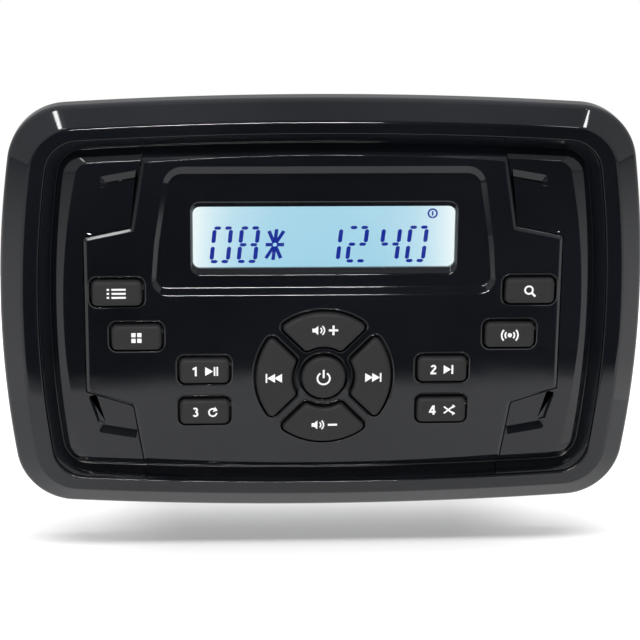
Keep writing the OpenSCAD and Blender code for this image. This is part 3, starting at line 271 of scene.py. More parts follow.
def eased(path, cuts, steps=5, by=(0, 1)):
    """A path with its inner corners replaced by parabolas, which start and end a cut away from the corner and
    have the corner as their control point. Distance is measured in two of the columns."""
    path, by = np.asarray(path, float), list(by)
    t = np.linspace(0, 1, steps)[:, None]
    rows = [path[:1]]
    for i in range(1, len(path) - 1):
        before, after = path[i - 1] - path[i], path[i + 1] - path[i]
        reach_in, reach_out = np.hypot(*before[by]), np.hypot(*after[by])
        near = min(cuts[i - 1], 0.45 * reach_in, 0.45 * reach_out)
        start, stop = path[i] + before * near / reach_in, path[i] + after * near / reach_out
        rows.append((1 - t) ** 2 * start + 2 * t * (1 - t) * path[i] + t ** 2 * stop)
    return np.vstack(rows + [path[-1:]])


def rounded(points, radii, steps=9):
    """A closed outline whose corners are arcs tangent to both edges: the arc starts a radius times the tangent
    of half the turn before the corner. A corner that turns the other way takes a negative radius."""
    u, v = unit(points - np.roll(points, 1, 0)), unit(np.roll(points, -1, 0) - points)
    turn = np.arctan2(u[:, 0] * v[:, 1] - u[:, 1] * v[:, 0], (u * v).sum(1))
    r = np.asarray(radii, float)
    c = points - (r * np.tan(turn / 2))[:, None] * u + r[:, None] * across_of(u)
    a = np.arctan2(-u[:, 0], u[:, 1])[:, None] + turn[:, None] * np.linspace(0, 1, steps)
    return (c[:, None] + r[:, None, None] * np.stack([np.cos(a), np.sin(a)], -1)).reshape(-1, 2)


def bar(x, z, w, h):
    """A rectangle about a point, as an outline."""
    return np.array([[x - w / 2, z - h / 2], [x + w / 2, z - h / 2], [x + w / 2, z + h / 2], [x - w / 2, z + h / 2]])


def oblong(w, h, r, steps=9):
    """A rectangle of that width and height about the origin, with round corners."""
    return rounded(np.roll(bar(0, 0, w, h), -1, 0), [r] * 4, steps)


def ring_arcs(ring):
    """Centres and join angles of a bowed outline, given as half width, half height, side bow, top bow and
    corner radius. The corner's centre is where circles about the two bow centres, each with its bow less the
    corner radius, cross."""
    half_w, half_h, side_bow, top_bow, r = ring
    top, side = np.array([0, half_h - top_bow]), np.array([half_w - side_bow, 0])
    a, b, d = top_bow - r, side_bow - r, np.hypot(*(side - top))
    u = (side - top) / d
    m = (a * a - b * b + d * d) / (2 * d)
    k = top + m * u - math.sqrt(a * a - m * m) * across_of(u)
    return top, side, k, bearing(k - top), bearing(k - side)


def bowed(ring):
    """The whole bowed outline, anticlockwise from the right: a quarter of side arc, corner arc and top arc,
    mirrored three times."""
    top, side, k, a_top, a_side = ring_arcs(ring)
    q = np.vstack([arc(side, ring[2], 0, a_side, 14)[:-1], arc(k, ring[4], a_side, a_top, 20)[:-1],
                   arc(top, ring[3], a_top, 90, 22)])
    left = q * [-1, 1]
    return np.vstack([q[:-1], left[:0:-1], -q[:-1], (q * [1, -1])[:0:-1]])


def placed(flat, f):
    """Points of the face plane, as across and up, put at distances f in front of the panel."""
    flat = np.asarray(flat, float)
    return np.stack([flat[:, 0], np.full(len(flat), -f), flat[:, 1]], 1)


def turned(points, degrees):
    """Points turned about the origin."""
    c, s = ray(degrees)
    return np.asarray(points) @ np.array([[c, s], [-s, c]])


def meeting(p, d, q, e):
    """Where a line through p along d meets a line through q along e."""
    t = ((q - p)[0] * e[1] - (q - p)[1] * e[0]) / (d[0] * e[1] - d[1] * e[0])
    return p + t * d


def filled(loops):
    """Triangles that fill the area between flat loops, as places in the list of all their points."""
    return tessellate_polygon([np.pad(loop, ((0, 0), (0, 1))).tolist() for loop in loops])


class Skin:
    """Gathers the grids and flat faces of one piece and makes its mesh."""

    WELD = 1e-6
    NOTHING = 1e-7

    def __init__(self):
        self.points, self.faces, self.count = [], [], 0

    def add(self, points, faces):
        """Takes points and the faces that join them."""
        self.points.append(np.asarray(points, float).reshape(-1, 3))
        self.faces += (np.asarray(faces) + self.count).tolist()
        self.count += len(self.points[-1])

    def loft(self, levels, outlines, wrap=False, closed=True):
        """Quads between neighbouring outlines, each at its own distance in front of the panel. With wrap the last
        outline joins the first one, and closed says whether each outline runs back to its start."""
        k, n = len(outlines), len(outlines[0])
        index = np.arange(k * n).reshape(k, n)
        index = np.vstack([index, index[:1]]) if wrap else index
        index = np.hstack([index, index[:, :1]]) if closed else index
        quads = np.stack([index[:-1, :-1], index[:-1, 1:], index[1:, 1:], index[1:, :-1]], -1)
        self.add(np.stack([placed(o, f) for o, f in zip(outlines, levels)]), quads.reshape(-1, 4))

    def walls(self, path, outline):
        """A loft down a path of distances and insets, with an outline made for each inset; gives the first and the
        last of them."""
        outlines = [outline(d) for _, d in path]
        self.loft(path[:, 0], outlines)
        return outlines[0], outlines[-1]

    def sheet(self, f, outer, holes=()):
        """A flat face at the distance f, between an outline and the holes in it."""
        loops = [outer, *holes]
        self.add(placed(np.vstack(loops), f), filled(loops))

    def prism(self, outline, back, front):
        """A straight bar between two distances, over a closed outline."""
        self.loft((back, front), (outline, outline))
        self.sheet(back, outline)
        self.sheet(front, outline)

    def upright(self, f, seam):
        """The wall under a seam that stands upright from its first level to its last one: a strip along the seam's
        inner points, and a flat end at each side, bounded by the points where the levels meet the rim."""
        self.loft(f[[0, -1]], seam[[0, -1], 1:-1], closed=False)
        levels = np.hstack([f[0], f, f[-1]])
        for tip, inner in ((0, 1), (-1, -2)):
            ends = np.vstack([seam[:1, inner], seam[:, tip], seam[-1:, inner]])
            reach = np.hypot(*(ends - seam[0, inner]).T)
            self.add(placed(ends, levels), filled([np.stack([reach, levels], 1)]))

    def shell(self, path, outlines, starts, count):
        """A skin whose outlines run along the rim and along seams, which start at the given points and have count
        points each. As long as the seams stand upright, each gets one wall, however the rim rises and falls."""
        f, inset, rows, n = path[:, 0], path[:, -1], np.stack(outlines), len(outlines[0])
        last = np.flatnonzero(inset == 0)[-1]
        low = rows[:last + 1]
        for start, stop in zip(starts, [*starts[1:], starts[0] + n]):
            self.loft(f[:last + 1], low.take(np.arange(start + count - 1, stop + 1) % n, 1), closed=False)
            self.upright(f[:last + 1], low.take(np.arange(start, start + count) % n, 1))
        self.loft(f[last:], rows[last:])

    def piece(self, name, body, material, slot, node=None, crease=34):
        """Makes the object: joined points, outward faces, smooth shading with creases, and normals weighted by
        face area so that flat faces stay flat beside their roundings."""
        mesh = bpy.data.meshes.new(name)
        mesh.from_pydata(np.vstack(self.points), [], self.faces)
        bm = bmesh.new()
        bm.from_mesh(mesh)
        bmesh.ops.remove_doubles(bm, verts=bm.verts, dist=self.WELD)
        bmesh.ops.dissolve_degenerate(bm, edges=bm.edges, dist=self.NOTHING)
        bmesh.ops.recalc_face_normals(bm, faces=bm.faces)
        if bm.calc_volume(signed=True) < 0:
            bmesh.ops.reverse_faces(bm, faces=bm.faces)
        bm.to_mesh(mesh)
        bm.free()
        mesh.shade_smooth()
        mesh.set_sharp_from_angle(angle=math.radians(crease))
        obj = bpy.data.objects.new(name, mesh)
        bpy.context.scene.collection.objects.link(obj)
        obj.modifiers.new("flat faces", "WEIGHTED_NORMAL").keep_sharp = True
        mesh.materials.append(material)
        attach(obj, body)
        if node:
            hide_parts(node)


class FaceRings:
    """The outlines of the face from the outside in, worked out from the sizes. Taking a length from all five sizes
    of an outline moves it in by that length all round."""

    SEAM_STEPS = 6
    SEAM_POINTS = 4 * SEAM_STEPS + 2
    SEAM_EASE = 0.5 * MM
    PAST_RIM = 4 * MM

    def __init__(self, scene):
        t, p = scene.stereo_trim, scene.stereo_plate
        self.sizes = p
        self.outer = np.array([t.half_w, t.half_h, t.side_bow, t.top_bow, t.corner])
        self.bevel = self.within(self.outer, t.bevel_side, t.bevel_top, t.bevel_corner)
        self.band = self.within(self.bevel, t.band_side, t.band_top, t.band_corner)
        self.bed = self.band - p.gap
        self.foot = self.within(self.band, p.trough_side, p.trough_top, p.foot_corner)
        self.rim = np.array([self.foot[0] - p.rim_side, self.foot[1] - p.rim_top, p.rim_side_bow, p.rim_top_bow,
                             p.rim_corner])
        self.shoulder = self.foot - p.rim_lean
        self.step = self.shoulder + (1 - p.proud / p.rim_rise) * (self.rim - self.shoulder)
        self.cover = np.array([self.rim[0] - p.cover_in, self.rim[1] - p.cover_set, p.cover_bow, t.top_bow,
                               p.cover_corner])
        self.brow = np.array([self.cover[0] + 0.1 * p.brow, self.shoulder[1] - p.brow, 1.03 * p.cover_bow,
                              self.shoulder[3], 1.4 * p.cover_corner])
        self.wing_x = self.rim[0] - p.cover_w
        self.trough_f = FACE_F - p.trough_depth
        self.back_f = self.trough_f - p.trough_wall
        self.cover_f = FACE_F - p.proud
        self.slope = [row(self.back_f, self.bed), row(FACE_F - p.trough_lip, self.bed), row(self.trough_f, self.foot),
                      row(FACE_F - p.rim_rise, self.shoulder)]

    @staticmethod
    def within(ring, side, top, corner):
        """An outline moved in by different amounts at the sides and at the top."""
        return np.array([ring[0] - side, ring[1] - top, ring[2] - side, ring[3] - top, corner])

    def seam(self, d):
        """Corners of the plate's outline along the seams, moved in by d, running past the rim at both ends."""
        p = self.sizes
        lean, far = math.tan(p.lean), self.band[1] + self.PAST_RIM
        tab_x, top, low = self.wing_x - p.tab_w, p.wing_top + p.tab_rise, p.wing_bottom + p.tab_fall
        right = np.array([[self.wing_x, -p.wing_bottom], [self.wing_x, p.wing_top], [tab_x, top],
                          [tab_x - lean * (far - top), far]])
        left = (right * [-1, 1])[::-1]
        foot = np.array([[-tab_x, -low], [-tab_x + lean * (far - low), -far], [tab_x - lean * (far - low), -far],
                         [tab_x, -low]])
        return mitred(np.vstack([right, left, foot]), d)

    @staticmethod
    def crossing(ring, inside, outside, level):
        """Where a line from inside to outside meets the outline's top arc, or its bottom arc for level -1."""
        c = np.array([0, level * (ring[1] - ring[3])])
        way, start = outside - inside, inside - c
        a, b, e = way @ way, way @ start, start @ start - ring[3] ** 2
        return inside + way * (-b + math.sqrt(b * b - a * e)) / a

    def side(self, ring, d):
        """The right seam from its bottom crossing to its top crossing, with eased corners."""
        s = self.seam(d)
        low, high = self.crossing(ring, s[11], s[10], -1), self.crossing(ring, s[2], s[3], 1)
        return eased([low, s[11], s[0], s[1], s[2], high], [self.SEAM_EASE] * 4, self.SEAM_STEPS)

    def plate(self, level):
        """The plate's outline at one level: the right seam up, the top arc, the left seam down, the bottom arc."""
        ring, right = level[1:6], self.side(level[1:6], level[6])
        top = np.array([0, ring[1] - ring[3]])
        high, low = bearing(right[-1] - top), bearing(right[0] + top)
        over = arc(top, ring[3], high, 180 - high, 70)[1:-1]
        under = arc(-top, ring[3], -180 - low, low, 70)[1:-1]
        return np.vstack([right, over, (right * [-1, 1])[::-1], under])

    def flank(self, level):
        """The right cover's outline at one level: along the rim from the bottom crossing to the top one, then
        back down the seam."""
        ring, seam = level[1:6], self.side(level[1:6], -self.sizes.gap - level[6])
        top, mid, k, a_top, a_side = ring_arcs(ring)
        low, high = bearing(seam[0] + top), bearing(seam[-1] - top)
        arcs = ((-top, ring[3], low, -a_top, 24), (k * [1, -1], ring[4], -a_top, -a_side, 16),
                (mid, ring[2], -a_side, a_side, 30), (k, ring[4], a_side, a_top, 16), (top, ring[3], a_top, high, 24))
        return np.vstack([*(arc(*a)[:-1] for a in arcs), seam[:0:-1]])


def row(f, ring, d=0.0):
    """One level of a skin: its distance in front of the panel, its outline's sizes and its inset at the seams."""
    return np.array([f, *ring, d])


def middle(node):
    """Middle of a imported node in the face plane."""
    low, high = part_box(node)
    return np.array([low.x + high.x, low.z + high.z]) / 2


def petal(s, d):
    """A petal to the right of the pad's middle, moved in by d: two arcs about the middle, joined by small arcs to
    sides that run beside the diagonals."""
    ro, ri, w, r = s.petal_out - d, s.petal_in + d, s.web + d, max(s.petal_corner - d, 0.3 * MM)
    ao = 45 - math.degrees(math.asin((w + r) / (ro - r)))
    ai = 45 - math.degrees(math.asin((w + r) / (ri + r)))
    o, i, down = (ro - r) * ray(ao), (ri + r) * ray(ai), np.array([1, -1])
    return np.vstack([arc((0, 0), ro, -ao, ao, 24)[:-1], arc(o, r, ao, 135, 8), arc(i, r, 135, 180 + ai, 8)[:-1],
                      arc((0, 0), ri, ai, -ai, 14)[:-1], arc(i * down, r, 180 - ai, 225, 8),
                      arc(o * down, r, 225, 360 - ao, 8)[:-1]])


def key_outline(name, s, d):
    """A key's outline in the face plane, moved in by d."""
    if name in PETAL_KEYS:
        return turned(petal(s, d), PETAL_KEYS[name]) + middle("key_power")
    low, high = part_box(name)
    w, h = high.x - low.x - 2 * s.grip - 2 * d, high.z - low.z - 2 * s.grip - 2 * d
    if name == "key_power":
        return arc(middle(name), w / 2, 0, 360, 73)[:-1]
    return oblong(w, h, max(s.corner - d, 0.4 * MM)) + middle(name)


def recess_outline(rings, s, d):
    """The display recess moved in by d at its top and bottom and by less at its sides: a six-cornered outline
    with rounded corners."""
    foot_x = rings.wing_x - s.inward - d * s.rim_part
    low, high = middle("key_power")[1] + s.rise, rings.rim[1] - s.drop
    half = np.array([[foot_x, low + d], [foot_x - s.waist, low + s.waist_part * (high - low)],
                     [foot_x - s.waist - s.taper, high - d]])
    radii = np.array([s.bottom_r, s.mid_r, s.top_r]) - d
    return rounded(np.vstack([half, (half * [-1, 1])[::-1]]), [*radii, *radii[::-1]], 12)


def window_outline(s, part):
    """The display window from its front edge, at part 0, to its back edge, at part 1."""
    w, h = PANE_W - 2 * s.border - 2 * part * s.sill_w, PANE_H - 2 * s.border - 2 * part * s.sill_h
    return oblong(w, h, s.window_r - part * s.sill_w, 10) + middle("display_lens")


def slot_lines(rings, level):
    """Where a pry slot of the right cover lies: its outer end, its inner end, the way along it and the way across
    it, with the height of the wing's corner and of the tab beside it, all counted away from the middle. The inner
    end follows the leaning seam, at the height of the slot's upper edge, and keeps a little off it."""
    p, upper_edge, off_seam = rings.sizes, 1.4 * MM, 0.35 * MM
    inward, drop, wing, rise = ((p.slot_in_top, p.slot_drop, p.wing_top, p.tab_rise) if level > 0 else
                                (p.slot_in_bottom, p.slot_rise, p.wing_bottom, p.tab_fall))
    end = np.array([rings.wing_x - inward, rings.rim[1] - drop])
    leant = math.tan(p.lean) * (end[1] + upper_edge - wing - rise)
    inner = rings.wing_x - p.tab_w + p.gap - leant + off_seam
    along, across = turned([[1, 0], [0, 1]], -math.degrees(p.slot_tilt))
    return end, end - along * (end[0] - inner) / math.cos(p.slot_tilt), along, across, wing, rise


def four_sided(corners, radii, steps, level):
    """A rounded outline through four corners, turned over below the middle."""
    flat = rounded(np.array(corners), np.array(radii) * MM, steps)
    return flat if level > 0 else (flat * [1, -1])[::-1]


def slot_outline(rings, level, part):
    """A pry slot on the right cover, from its mouth, at part 0, to its floor, at part 1: a bar with a round outer
    end, whose floor is a narrow strip along the edge nearer the middle."""
    end, start, along, across, _, _ = slot_lines(rings, level)
    slot_h, outer_r = rings.sizes.slot_h, 0.06 + 0.9 * max(1 - part, 0)
    high = end + across * slot_h * (0.5 - 0.9 * part)
    low = end - across * slot_h * (0.5 - 0.04 * part)
    corners = [meeting(low, along, start, across), low - along * 0.05 * MM * part, high - along * 0.9 * MM * part,
               meeting(high, along, start, across)]
    return four_sided(corners, [0.1, outer_r, outer_r, 0.1], 9, level)


def channel_outline(rings, level, part):
    """The soft channel from a slot's outer end to the wing's corner, from its mouth, at part 0, to the line along
    its floor, at part 1."""
    p, off_seam, off_slot, shorter = rings.sizes, 0.4 * MM, 0.3 * MM, 0.5 * MM * part
    end, _, along, across, wing, rise = slot_lines(rings, level)
    knee = end - along * p.slot_h / 2
    goal = np.array([rings.wing_x - p.channel_in, wing + rise * p.channel_in / p.tab_w + p.gap + off_seam])
    way = unit(goal - knee)
    beside = across_of(way) * p.channel_w / 2 * (1 - 0.94 * part)
    top, goal = end - across * (p.slot_h / 2 + off_slot) + way * shorter, goal - way * shorter
    corners = [meeting(top, along, knee - beside, way), goal - beside, goal + beside,
               meeting(top, along, knee + beside, way)]
    return four_sided(corners, [0.3 - 0.28 * part] * 4, 5, level)


class Wiring:
    """Adds shader nodes to a tree. Each input of a node is a value or another node's output."""

    def __init__(self, tree):
        self.nodes, self.links = tree.nodes, tree.links

    def feed(self, node, inputs):
        """Sets a node's inputs, given by name or by place."""
        for key, value in inputs.items():
            if isinstance(value, bpy.types.NodeSocket):
                self.links.new(value, node.inputs[key])
            else:
                node.inputs[key].default_value = value

    def add(self, kind, inputs, **settings):
        """Makes a node and gives its outputs."""
        node = self.nodes.new("ShaderNode" + kind)
        for name, value in settings.items():
            setattr(node, name, value)
        self.feed(node, inputs)
        return node.outputs

    def place(self):
        """The piece's own coordinates."""
        return self.add("TexCoord", {})["Object"]

    def noise(self, place, scale, detail=2.0):
        """Cloudy noise on coordinates."""
        return self.add("TexNoise", {"Vector": place, "Scale": scale, "Detail": detail})["Fac"]

    def sum_of(self, kind, one, two=0.0, clamp=False):
        """Two numbers put together by one kind of sum."""
        return self.add("Math", {0: one, 1: two}, operation=kind, use_clamp=clamp)[0]

    def ramp(self, value, low=0.0, high=1.0, start=0.0, stop=1.0, kind="LINEAR"):
        """A number that runs from start to stop while the value runs from low to high."""
        ends = {"Value": value, "From Min": low, "From Max": high, "To Min": start, "To Max": stop}
        return self.add("MapRange", ends, interpolation_type=kind)["Result"]

    def mix(self, part, one, two):
        """A colour between two others."""
        return self.add("Mix", {0: part, 6: one, 7: two}, data_type="RGBA")[2]

    def relief(self, height, strength, reach):
        """A normal bent by a height, where reach is the height's size in millimetres."""
        return self.add("Bump", {"Strength": strength, "Distance": reach * MM, "Height": height})["Normal"]


def blank(name):
    """A new material; gives it, its wiring and its main shader."""
    material = bpy.data.materials.new(name)
    material.use_nodes = True
    return material, Wiring(material.node_tree), material.node_tree.nodes["Principled BSDF"]


def grain_group():
    """Shared effect: fine and coarse noise on the piece's own coordinates, put out as a mask that mixes two
    colours, a roughness between two values and a height for a bump."""
    group = bpy.data.node_groups.get("moulded_grain")
    if group:
        return group
    group = bpy.data.node_groups.new("moulded_grain", "ShaderNodeTree")
    for way, kind, labels in (("INPUT", "Float", ("Coarse", "Fine", "Rough low", "Rough high")),
                              ("INPUT", "Color", ("Colour one", "Colour two")), ("OUTPUT", "Color", ("Colour",)),
                              ("OUTPUT", "Float", ("Roughness", "Height"))):
        for label in labels:
            group.interface.new_socket(label, in_out=way, socket_type="NodeSocket" + kind)
    wiring = Wiring(group)
    given, result = group.nodes.new("NodeGroupInput").outputs, group.nodes.new("NodeGroupOutput")
    place = wiring.place()
    mask = wiring.ramp(wiring.noise(place, given["Coarse"], 4), 0.35, 0.65)
    wiring.feed(result, {"Colour": wiring.mix(mask, given["Colour one"], given["Colour two"]),
                         "Roughness": wiring.ramp(mask, start=given["Rough low"], stop=given["Rough high"]),
                         "Height": wiring.noise(place, given["Fine"])})
    return group


def finish(name, one, two, rough=(0.3, 0.5), metal=0.0, coarse=60.0, fine=1500.0, bump=0.1, reach=0.02, **inputs):
    """A material, made once, with two mixed colours, a roughness that varies between two values and a fine bump;
    reach is the bump's height in millimetres, and inputs are further inputs of the shader."""
    found = bpy.data.materials.get(name)
    if found:
        return found
    material, wiring, shader = blank(name)
    grain = wiring.add("Group", {"Coarse": coarse, "Fine": fine, "Rough low": rough[0], "Rough high": rough[1],
                                 "Colour one": (*one, 1), "Colour two": (*two, 1)}, node_tree=grain_group())
    wiring.feed(shader, {"Base Color": grain["Colour"], "Roughness": grain["Roughness"], "Metallic": metal})
    wiring.feed(shader, {label.replace("_", " "): value for label, value in inputs.items()})
    if bump:
        wiring.feed(shader, {"Normal": wiring.relief(grain["Height"], bump, reach)})
    return material


def colour(name):
    """A colour from the settings, as an array."""
    return np.array(getattr(bpy.context.scene.stereo_colours, name))


def gloss_black():
    """Polished black plastic: faint polishing haze in the roughness, and slow sink marks from the mould."""
    c = colour("gloss")
    return finish("polished_black", c, 1.5 * c, (0.035, 0.075), 0, 25, 85, 0.25, 0.03, IOR=1.5)


def key_rubber():
    """Matte rubber with a fine tooth."""
    c = colour("rubber")
    return finish("toothed_rubber", 0.9 * c, 1.15 * c, (0.5, 0.62), 0, 240, 5200, 0.35, 0.02, Specular_IOR_Level=0.42)


def print_with_painted_glow():
    """White ink with a faint glow of its own: painted light that makes the print read brighter than the lamps light
    it.
    """
    c = colour("legend")
    # Painted glow: the print's own colour is also emitted, at a strength of 0.3.
    return finish("legend_print_painted_glow", c, 0.95 * c, (0.45, 0.6), 0, 900, 6000, 0.1, 0.01, Emission_Color=(*c, 1),
                  Emission_Strength=0.3)


def display_ink():
    """Dark liquid-crystal bars, which let a little of the backlight through."""
    c = colour("figure")
    return finish("display_ink", 0.02 * c, 0.03 * c, (0.3, 0.4), 0, 400, 3000, 0, Emission_Color=(*c, 1),
                  Emission_Strength=1.0)


def clear_pane():
    """Clear display window with faint wiping haze in its roughness."""
    return finish("clear_pane", (0.97, 0.985, 1), (0.95, 0.975, 0.99), (0.0, 0.02), 0, 40, bump=0,
                  Transmission_Weight=1.0, IOR=1.45)


def lit_display():
    """Backlit display glass: the colour runs from the middle tint to the paler tint at the two ends, where the
    lamps are, as about the fourth power of the distance from the middle, with a paler top edge."""
    material, wiring, shader = blank("lit_display")
    place = wiring.place()
    split = wiring.add("SeparateXYZ", {"Vector": place})
    half = PANE_W / 2 - 2.2 * MM
    across = wiring.sum_of("DIVIDE", split["X"], half)
    ends = wiring.sum_of("POWER", wiring.sum_of("MULTIPLY", across, across), 2.1)
    up = wiring.ramp(split["Z"], PANE_LOW.z, PANE_HIGH.z, stop=0.3)
    veil = wiring.sum_of("MULTIPLY", up, wiring.noise(place, 45))
    total = wiring.sum_of("ADD", ends, veil, clamp=True)
    glow = wiring.mix(total, (*colour("lit"), 1), (*colour("lit_ends"), 1))
    wiring.feed(shader, {"Emission Color": glow, "Emission Strength": 1.0, "Base Color": (0.02, 0.03, 0.035, 1),
                         "Roughness": 0.25})
    return material


def zinc_sheet():
    """Zinc-plated sheet: crystal patches from cells, with fine rolling lines along the sheet."""
    material, wiring, shader = blank("zinc_sheet")
    place = wiring.place()
    cells = wiring.add("TexVoronoi", {"Vector": place, "Scale": 160})["Color"]
    tone = wiring.add("SeparateColor", {"Color": cells})
    lines = wiring.add("Mapping", {"Vector": place, "Scale": (1, 0.03, 1)})["Vector"]
    wiring.feed(shader, {"Base Color": wiring.mix(tone["Red"], (0.46, 0.47, 0.48, 1), (0.6, 0.61, 0.61, 1)),
                         "Roughness": wiring.ramp(tone["Green"], start=0.3, stop=0.48), "Metallic": 1.0,
                         "Normal": wiring.relief(wiring.noise(lines, 2600), 0.15, 0.02)})
    return material


class Step:
    """What the building steps share: each runs its own build on the scene."""

    def execute(self, context):
        self.build(context.scene)
        return {"FINISHED"}


class StereoTrimFrame(Step, bpy.types.Operator):
    """Builds the trim frame: one closed profile carried round the bowed outline"""

    bl_idname = "stereo.trim_frame"
    bl_label = "Trim frame"

    def build(self, scene):
        t, rings = scene.stereo_trim, FaceRings(scene)
        inner = rings.within(rings.band, -t.wall, -t.wall, t.band_corner + t.wall)
        shell, under = rings.outer - t.wall, rings.bevel + 0.3 * t.wall
        bevel_f, inside_f = FACE_F - t.bevel_depth, FACE_F - t.wall
        profile = [row(t.lift, rings.outer), row(bevel_f, rings.outer), row(FACE_F, rings.bevel),
                   row(FACE_F, rings.band), row(t.seat, rings.band), row(t.seat, inner), row(inside_f, inner),
                   row(inside_f, under), row(bevel_f - 0.4 * t.wall, shell), row(t.lift, shell)]
        path = eased(profile, t.edge * np.array([2.4, 1, 0.9, 0.2, 0.2, 0.2, 0.2, 0.2]), 7)
        skin = Skin()
        skin.loft(path[:, 0], [bowed(r[1:6]) for r in path], wrap=True)
        skin.piece("trim_frame", HOUSING, gloss_black(), "gloss_black", "front_frame")


class StereoKeyPlate(Step, bpy.types.Operator):
    """Builds the key plate: its rim, face, key openings with soft lips, and the display recess with its window"""

    bl_idname = "stereo.key_plate"
    bl_label = "Key plate"

    def build(self, scene):
        p, k, s, rings = scene.stereo_plate, scene.stereo_keys, scene.stereo_display, FaceRings(scene)
        e, floor_f = p.edge, FACE_F - s.depth
        profile = [*rings.slope, row(rings.cover_f, rings.step), row(FACE_F, rings.rim, p.chamfer),
                   row(FACE_F, rings.rim - e, p.chamfer + 0.3 * e)]
        path = eased(profile, e * np.array([0.5, 1.3, 0.8, 0.5, 1.5]), 6)
        outlines = [rings.plate(level) for level in path]
        skin = Skin()
        skin.shell(path, outlines, [0, len(outlines[0]) // 2], rings.SEAM_POINTS)
        lip = eased([[FACE_F, k.gap + k.lip], [FACE_F + k.lip_h, k.gap + 0.5 * k.lip],
                     [FACE_F + k.lip_h, k.gap + 0.2 * k.lip], [FACE_F - 0.5 * k.lip, k.gap], [rings.back_f, k.gap]],
                    k.lip * np.array([0.1, 0.1, 0.2]), 6)
        holes, backs = zip(*(skin.walls(lip, lambda d: key_outline(name, k, -d)) for name in KEYS))
        dish = eased([[FACE_F, -0.5 * MM], [FACE_F, 0], [floor_f, s.rim], [floor_f, s.rim + 0.7 * MM]],
                     [0.4 * MM, 0.5 * MM], 8)
        brim, floor = skin.walls(dish, lambda d: recess_outline(rings, s, d))
        sill = eased([[floor_f, -0.35], [floor_f, 0], [-PANE_LOW.y, 1], [rings.back_f, 1]], [0.2, 0.1], 6)
        mouth, window = skin.walls(sill, lambda part: window_outline(s, part))
        skin.sheet(FACE_F, outlines[-1], [*holes, brim])
        skin.sheet(floor_f, floor, [mouth])
        skin.sheet(rings.back_f, outlines[0], [*backs, window])
        skin.piece("key_plate", HOUSING, gloss_black(), "gloss_black", "centre_plate", crease=24)


class StereoScrewCovers(Step, bpy.types.Operator):
    """Builds the two screw covers, each with two pry slots, as the right cover and its mirror image"""

    bl_idname = "stereo.screw_covers"
    bl_label = "Screw covers"

    def build(self, scene):
        p, rings = scene.stereo_plate, FaceRings(scene)
        e, top_f = p.edge, rings.cover_f
        profile = [*rings.slope, row(top_f, rings.brow), row(top_f, rings.cover, 0.3 * e)]
        path = eased(profile, e * np.array([0.5, 1.3, 0.8, 0.9]), 7, by=(0, 2))
        outlines = [rings.flank(level) for level in path]
        slot_dip = eased([[top_f, -0.06], [top_f, 0], [top_f - p.slot_depth, 1]], [0.06], 5)
        t = np.linspace(0, 1, 9)
        bowl = (1 - np.cos(math.pi * t)) / 2
        for side, name in ((-1, "left_screw_cover"), (1, "right_screw_cover")):
            flip, skin, mouths = np.array([side, 1]), Skin(), []
            skin.shell(path, [o * flip for o in outlines], [len(outlines[0]) + 1 - rings.SEAM_POINTS],
                       rings.SEAM_POINTS)
            for level, depth in ((-1, p.channel_bottom), (1, p.channel_top)):
                channel_dip = np.stack([top_f - depth * bowl, t], 1)
                for outline, dip in ((slot_outline, slot_dip), (channel_outline, channel_dip)):
                    mouth, floor = skin.walls(dip, lambda part: outline(rings, level, part) * flip)
                    skin.sheet(dip[-1, 0], floor)
                    mouths.append(mouth)
            skin.sheet(top_f, outlines[-1] * flip, mouths)
            skin.sheet(rings.back_f, outlines[0] * flip)
            skin.piece(name + "_skin", HOUSING, gloss_black(), "gloss_black", name)


class StereoKeys(Step, bpy.types.Operator):
    """Builds the thirteen rubber key caps, each a straight wall with a rounded top edge"""

    bl_idname = "stereo.keys"
    bl_label = "Keys"

    def build(self, scene):
        k, mat_f = scene.stereo_keys, -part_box("keypad_mat")[0].y
        for name in KEYS:
            foot_f, top_f, skin = mat_f + k.room, -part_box(name)[0].y, Skin()
            path = eased([[foot_f, 0], [top_f, 0], [top_f, 2.4 * k.edge]], [k.edge], 9)
            foot, top = skin.walls(path[:-1], lambda d: key_outline(name, k, d))
            skin.sheet(foot_f, foot)
            skin.sheet(top_f, top)
            skin.piece(name + "_cap", name + "_body", key_rubber(), "key_rubber", name)


def wedge(x, z, w, h):
    """A triangle that points to the right for a positive width, with its middle at a point."""
    return np.array([[x - w / 2, z - h / 2], [x + w / 2, z], [x - w / 2, z + h / 2]])


def bow(x, z, r, start, stop, stroke):
    """A stroke along an arc, as an outline out along the larger radius and back along the smaller one."""
    return np.vstack([arc((x, z), r + stroke / 2, start, stop, 20), arc((x, z), r - stroke / 2, stop, start, 20)])


def stroke(ax, az, bx, bz, w):
    """A straight stroke between two points, as a four-cornered outline."""
    a, b = np.array([ax, az]), np.array([bx, bz])
    n = across_of(unit(b - a)) * w / 2
    return np.array([a - n, b - n, b + n, a + n])


def speaker(x):
    """A loudspeaker sign: a box and horn in one outline, and a sound wave."""
    horn = np.array([[-1.3, -0.5], [-0.6, -0.5], [0.2, -1.2], [0.2, 1.2], [-0.6, 0.5], [-1.3, 0.5]]) + [x, 0]
    return [horn, bow(x + 0.3, 0, 0.8, -55, 55, 0.36), bow(x + 0.3, 0, 1.5, -50, 50, 0.36)]


